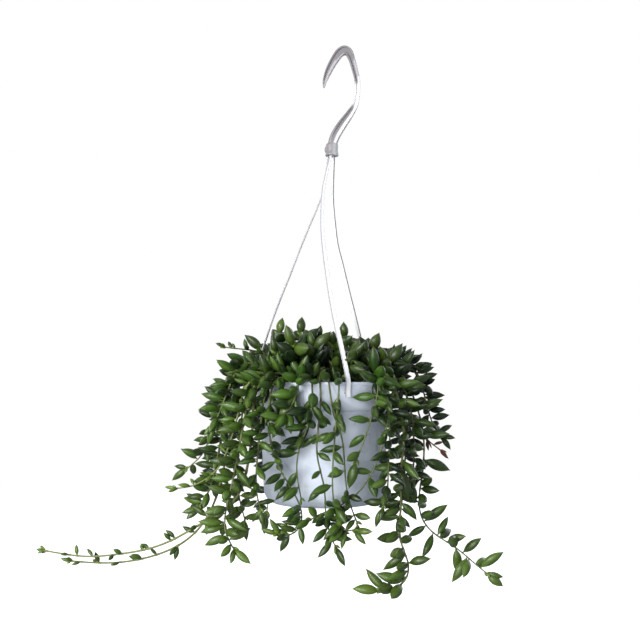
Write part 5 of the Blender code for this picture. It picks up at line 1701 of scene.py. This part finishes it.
def addLeaf(shell, base, aim, length, radius, tone, youth, finish, draw, crumple=0.0):
    look = leafLook
    up = Vector((0, 0, 1)) - aim * aim.z
    if up.length < 0.3:
        up = Vector((aim.x, aim.y, 0)).orthogonal() if aim.xy.length > 1e-4 else Vector((0, -1, 0))
        up -= aim * aim.dot(up)
    up.normalize()
    roll = draw.uniform(-look["roll"], look["roll"])
    up = up * math.cos(roll) + aim.cross(up) * math.sin(roll)
    side = aim.cross(up)
    arch = draw.uniform(*look["arch"]) * length
    shake = Vector((draw.uniform(0, 50), draw.uniform(0, 50), 0))
    rings = []
    for place, size in look["outline"]:
        centre = base + aim * length * place + up * arch * 4 * place * (1 - place)
        ring = []
        for corner in range(look["sides"]):
            turn = math.tau * corner / look["sides"]
            thick = radius * size * look["flatness"]
            high = math.cos(turn) * thick - (thick * look["furrow"] if corner == 0 else 0)
            wide = math.sin(turn) * radius * size
            if crumple:
                spot = Vector((math.cos(turn), math.sin(turn), place * look["dents"]))
                dent = 1 + crumple * noise.noise(shake + spot)
                high, wide = high * dent * withering["flatness"], wide * dent
            ring.append(centre + up * high + side * wide)
        rings.append(ring)
    alongs = [place for place, _ in look["outline"]]
    addRings(shell, rings, alongs, tone, youth, finish, base + aim * length)


def smoothKnots(route):
    # points on the smooth curve through a stem's knots, addressed by knot and share
    ends = [route[0] * 2 - route[1]] + list(route) + [route[-1] * 2 - route[-2]]

    def pointAt(knot, share):
        return curvePoint(ends[knot], ends[knot + 1], ends[knot + 2], ends[knot + 3], share)

    return pointAt


def addStem(shell, route, leaves, fullRadius, tone, youth, finish):
    look = stemLook
    curve = smoothKnots(route)
    dense = [curve(knot, tick / look["ticks"]) for knot in range(len(route) - 1)
             for tick in range(look["ticks"])]
    path = evenRoute(dense + [route[-1]], look["step"])
    knuckles = pointTree([curve(leaf["knot"], leaf["share"]) for leaf in leaves] or [path[0]])
    side = Vector((0.3, 1, 0.2))
    rings = []
    for index, point in enumerate(path):
        along = tangentAt(path, index)
        side = (side - along * side.dot(along)).normalized()
        other = along.cross(side)
        radius = fullRadius * (1 - (1 - look["tipShare"]) * index / len(path))
        near = knuckles.find(point)[2] / look["knuckleLength"]
        radius *= 1 + look["knuckle"] * math.exp(-near * near)
        rings.append([point + (side * math.cos(turn) + other * math.sin(turn)) * radius
                      for turn in (math.tau * corner / look["sides"] for corner in range(look["sides"]))])
    alongs = [index / len(path) for index in range(len(path))]
    addRings(shell, rings, alongs, tone, youth, finish, path[-1] + along * radius * look["dome"])


def stretched(stretch, base, aim, length, radius, top):
    # the fine leaf's length and radius, no further than the solids' box and the crown's top
    longer, wider = stretch
    for share in stretchShares:
        fineLength = length * (1 + (longer - 1) * share)
        if not outsideSolids(leafSpheres(base, aim, fineLength, radius * wider)):
            break
    if aim.z > cropping["rising"] and base.z + fineLength * aim.z > top:
        cut = max(cropping["least"], (top - base.z) / aim.z / fineLength)
        thin = cropping["thinnest"]
        return fineLength * cut, radius * wider * (thin + (1 - thin) * cut)
    return fineLength, radius * wider


def growPiece(shell, stem, route, leaves):
    # one stem with its leaves and the young leaves round its tip
    name = stem[0]
    traits = traitsOf(name)
    isWithered = "withered" in name
    draw = random.Random(name + " looks")
    curve = smoothKnots(route)
    addStem(shell, route, leaves, stemLook["radius"] * traits["thick"], traits["tone"], traits["skin"], 1)
    for leaf in leaves:
        base = curve(leaf["knot"], leaf["share"])
        stray = Vector([draw.uniform(-1, 1) for _ in range(3)]) * traits["unruly"]
        aim = (leaf["aim"] + stray).normalized()
        if outsideSolids(leafSpheres(base, aim, leaf["length"], leaf["radius"])):
            aim = leaf["aim"]
        length, radius = stretched(traits["stretch"], base, aim, leaf["length"], leaf["radius"],
                                   draw.uniform(*crownTop))
        radius *= withering["shrivel"] if isWithered else 1.0
        leafTone = traits["tone"] + draw.uniform(*toneSpread)
        # painted shade: deeper green further back and deep in the crown
        leafTone -= depthShade["amount"] * eased(base.y, *depthShade["range"])
        if not name.startswith("trail"):
            leafTone -= depthShade["under"] * (1 - eased(base.z, *depthShade["crown"]))
        leafTone = clamped(leafTone)
        youth = traits["pale"] * (youthLook["atRoot"] + leaf["way"])
        youth += max(0.0, leaf["way"] - youthLook["from"])
        youth = min(youthLook["most"], youth + max(0.0, draw.uniform(*youthLook["spread"])))
        addLeaf(shell, base, aim, length, radius, leafTone, youth, 0, draw,
                withering["crumple"] if isWithered else 0.0)
    tangent = (route[-1] - route[-2]).normalized()
    around = tangent.orthogonal().normalized()
    look = budLook
    for index in range(0 if isWithered else look["count"]):
        turn = math.tau * (index / look["count"]) + draw.uniform(-look["swing"], look["swing"])
        spread = around * math.cos(turn) + tangent.cross(around) * math.sin(turn)
        length = draw.uniform(*look["length"])
        first, step = look["steps"]
        addLeaf(shell, route[-1] - tangent * look["back"] * (first + index * step),
                (tangent + spread * look["spread"]).normalized(), length, length * look["fatness"],
                traits["tone"], youthLook["bud"], 0, draw)


def pieceFromShell(name, shell, skins):
    mesh = bpy.data.meshes.new(name)
    mesh.from_pydata(shell["points"], [], shell["faces"])
    for label in ("leafAlong", "leafAround", "leafTone", "leafYouth"):
        mesh.attributes.new(label, "FLOAT", "POINT").data.foreach_set("value", shell[label])
    piece = newObject(name, mesh, [finishes[skin] for skin in skins])
    mesh.polygons.foreach_set("material_index", shell["finishes"])
    mesh.shade_smooth()
    return piece


def makePlant():
    stems = allStems()
    tapeLine = tapePoints()
    routes = settleStems(stems, spreadRoots(stems), tapeLine)
    placed, points, sizes = placeLeaves(stems, routes, tapeLine)
    grownCount = sum(len(leaves) for leaves in placed)
    solidCount = len(stems)
    shoots, shootRoutes = crownShoots(points, sizes)
    for owner, route in enumerate(shootRoutes, solidCount):
        rememberStem(route, owner, growth["stemRadius"], points, sizes)
    stems += shoots
    routes += shootRoutes
    placed += [[] for _ in shoots]
    fillLeaves(stems, routes, placed, points, sizes)
    print("leaves:", grownCount, "as in the solids,", sum(len(leaves) for leaves in placed), "in all")
    for stem, route, leaves in zip(stems[:solidCount], routes, placed):
        shell = newShell()
        growPiece(shell, stem, route, leaves)
        isWithered = "withered" in stem[0]
        skins = ("witheredLeaf", "witheredStem") if isWithered else ("leaf", "stem")
        piece = pieceFromShell("leafy_" + stem[0], shell, skins)
        placePiece(piece, [stem[0]])
    shell = newShell()
    for stem, route, leaves in zip(stems[solidCount:], routes[solidCount:], placed[solidCount:]):
        growPiece(shell, stem, route, leaves)
    placePiece(pieceFromShell("crown_shoots", shell, ("leaf", "stem")), [])


makePlant()
print("plant grown")


# Floor, lights and camera

studio = {
    # in metres, and places from the frame's origin
    "floorGap": 0.42,                  # from the lowest leaf to the floor
    "floorSize": 9.0,
    "floorGlow": 1.2,
    "floorClouds": 1.6,                # how fine the floor's two patterns are
    "floorGrain": 220,
    "room": (0.86, 0.92, 1.0, 1),
    "roomStrength": 0.3,
    "background": (1, 1, 1, 1),
    "backgroundStrength": 1.0,
    # name, place, size, power, colour
    "lights": [
        ("frontLight", (-0.6, -1.4, -0.38), 1.1, 22, (0.97, 0.98, 1.0)),
        ("keyLight", (-1.05, -1.1, 0.22), 0.4, 16, (1.0, 0.99, 0.96)),
        ("topLight", (-0.2, 0.1, 1.05), 0.8, 2.5, (0.95, 0.98, 1.0)),
        ("sideLight", (1.3, -0.7, -0.2), 1.0, 1.1, (0.88, 0.93, 1.0)),
        ("rearRightLight", (1.05, 1.15, 0.05), 1.2, 9, (0.97, 0.98, 1.0)),
        ("rearLeftLight", (-1.2, 1.05, 0.0), 1.2, 7, (0.97, 0.98, 1.0)),
    ],
    "aim": (-0.05, 0, -0.36),
}

camera = {
    "distance": 1000,                  # from the pot's axis, in millimetres
    "offset": -4.2,                    # to the side of the axis
    "rise": 62 / 950,                  # slope of the view
    "lens": 53.44,
    "sensor": 36,
}


def pale():
    # a smooth pale floor with a faint cloudiness, so that it isn't one flat colour
    colours = {"Paper": (0.93, 0.93, 0.93, 1), "Shade": (0.89, 0.89, 0.9, 1)}
    tree, given, place = newGroup("palePaper", colours)
    clouds = noiseOf(tree, place, studio["floorClouds"], 4, 0.5)
    tone = mixColour(tree, rangeOf(tree, clouds, 0.3, 0.8), given["Paper"], given["Shade"])
    return closeGroup(tree, tone, rangeOf(tree, clouds, 0.0, 1.0, 0.8, 0.95),
                      noiseOf(tree, place, studio["floorGrain"], 3, 0.6))


def makeStage():
    low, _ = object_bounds()
    half = studio["floorSize"] / 2
    bm = bmesh.new()
    bmesh.ops.create_grid(bm, x_segments=2, y_segments=2, size=half)
    bmesh.ops.translate(bm, vec=(0, 0, low.z - studio["floorGap"]), verts=bm.verts)
    paper = newMaterial("palePaper", pale(), {}, 0.1, 0.001)
    surface = paper.node_tree.nodes["Principled BSDF"]
    surface.inputs["Emission Color"].default_value = (1, 1, 1, 1)
    surface.inputs["Emission Strength"].default_value = studio["floorGlow"]
    floor = newObject("paleFloor", meshFromBmesh("paleFloor", bm), [paper])
    floor.visible_diffuse = False
    floor.visible_glossy = False
    world = bpy.data.worlds.new("studioRoom")
    bpy.context.scene.world = world
    world.use_nodes = True
    tree = world.node_tree
    tree.nodes.clear()
    # the camera sees plain white behind the part, while the room's own light falls on it
    choose = addNode(tree, "ShaderNodeMixShader")
    feed(tree, choose.inputs[0], addNode(tree, "ShaderNodeLightPath").outputs["Is Camera Ray"])
    for index, kind in enumerate(("room", "background"), 1):
        glow = addNode(tree, "ShaderNodeBackground")
        glow.inputs["Color"].default_value = studio[kind]
        glow.inputs["Strength"].default_value = studio[kind + "Strength"]
        feed(tree, choose.inputs[index], glow.outputs[0])
    feed(tree, addNode(tree, "ShaderNodeOutputWorld").inputs[0], choose.outputs[0])
    for name, place, size, power, colour in studio["lights"]:
        light = bpy.data.lights.new(name, "AREA")
        light.size = size
        light.energy = power
        light.color = colour
        lamp = newObject(name, light)
        lamp.location = place
        lamp.rotation_euler = (Vector(studio["aim"]) - Vector(place)).to_track_quat("-Z", "Y").to_euler()


def makeCamera():
    data = bpy.data.cameras.new("photoCamera")
    data.sensor_width = camera["sensor"]
    data.lens = camera["lens"]
    made = newObject("photoCamera", data)
    made.location = rimCentre + Vector((camera["offset"], -camera["distance"], 0)) * mm
    made.rotation_euler = (math.pi / 2 + math.atan(camera["rise"]), 0, 0)
    bpy.context.scene.camera = made


makeStage()
makeCamera()
bpy.context.scene.view_settings.view_transform = "Standard"
print("stage, lights and camera ready")
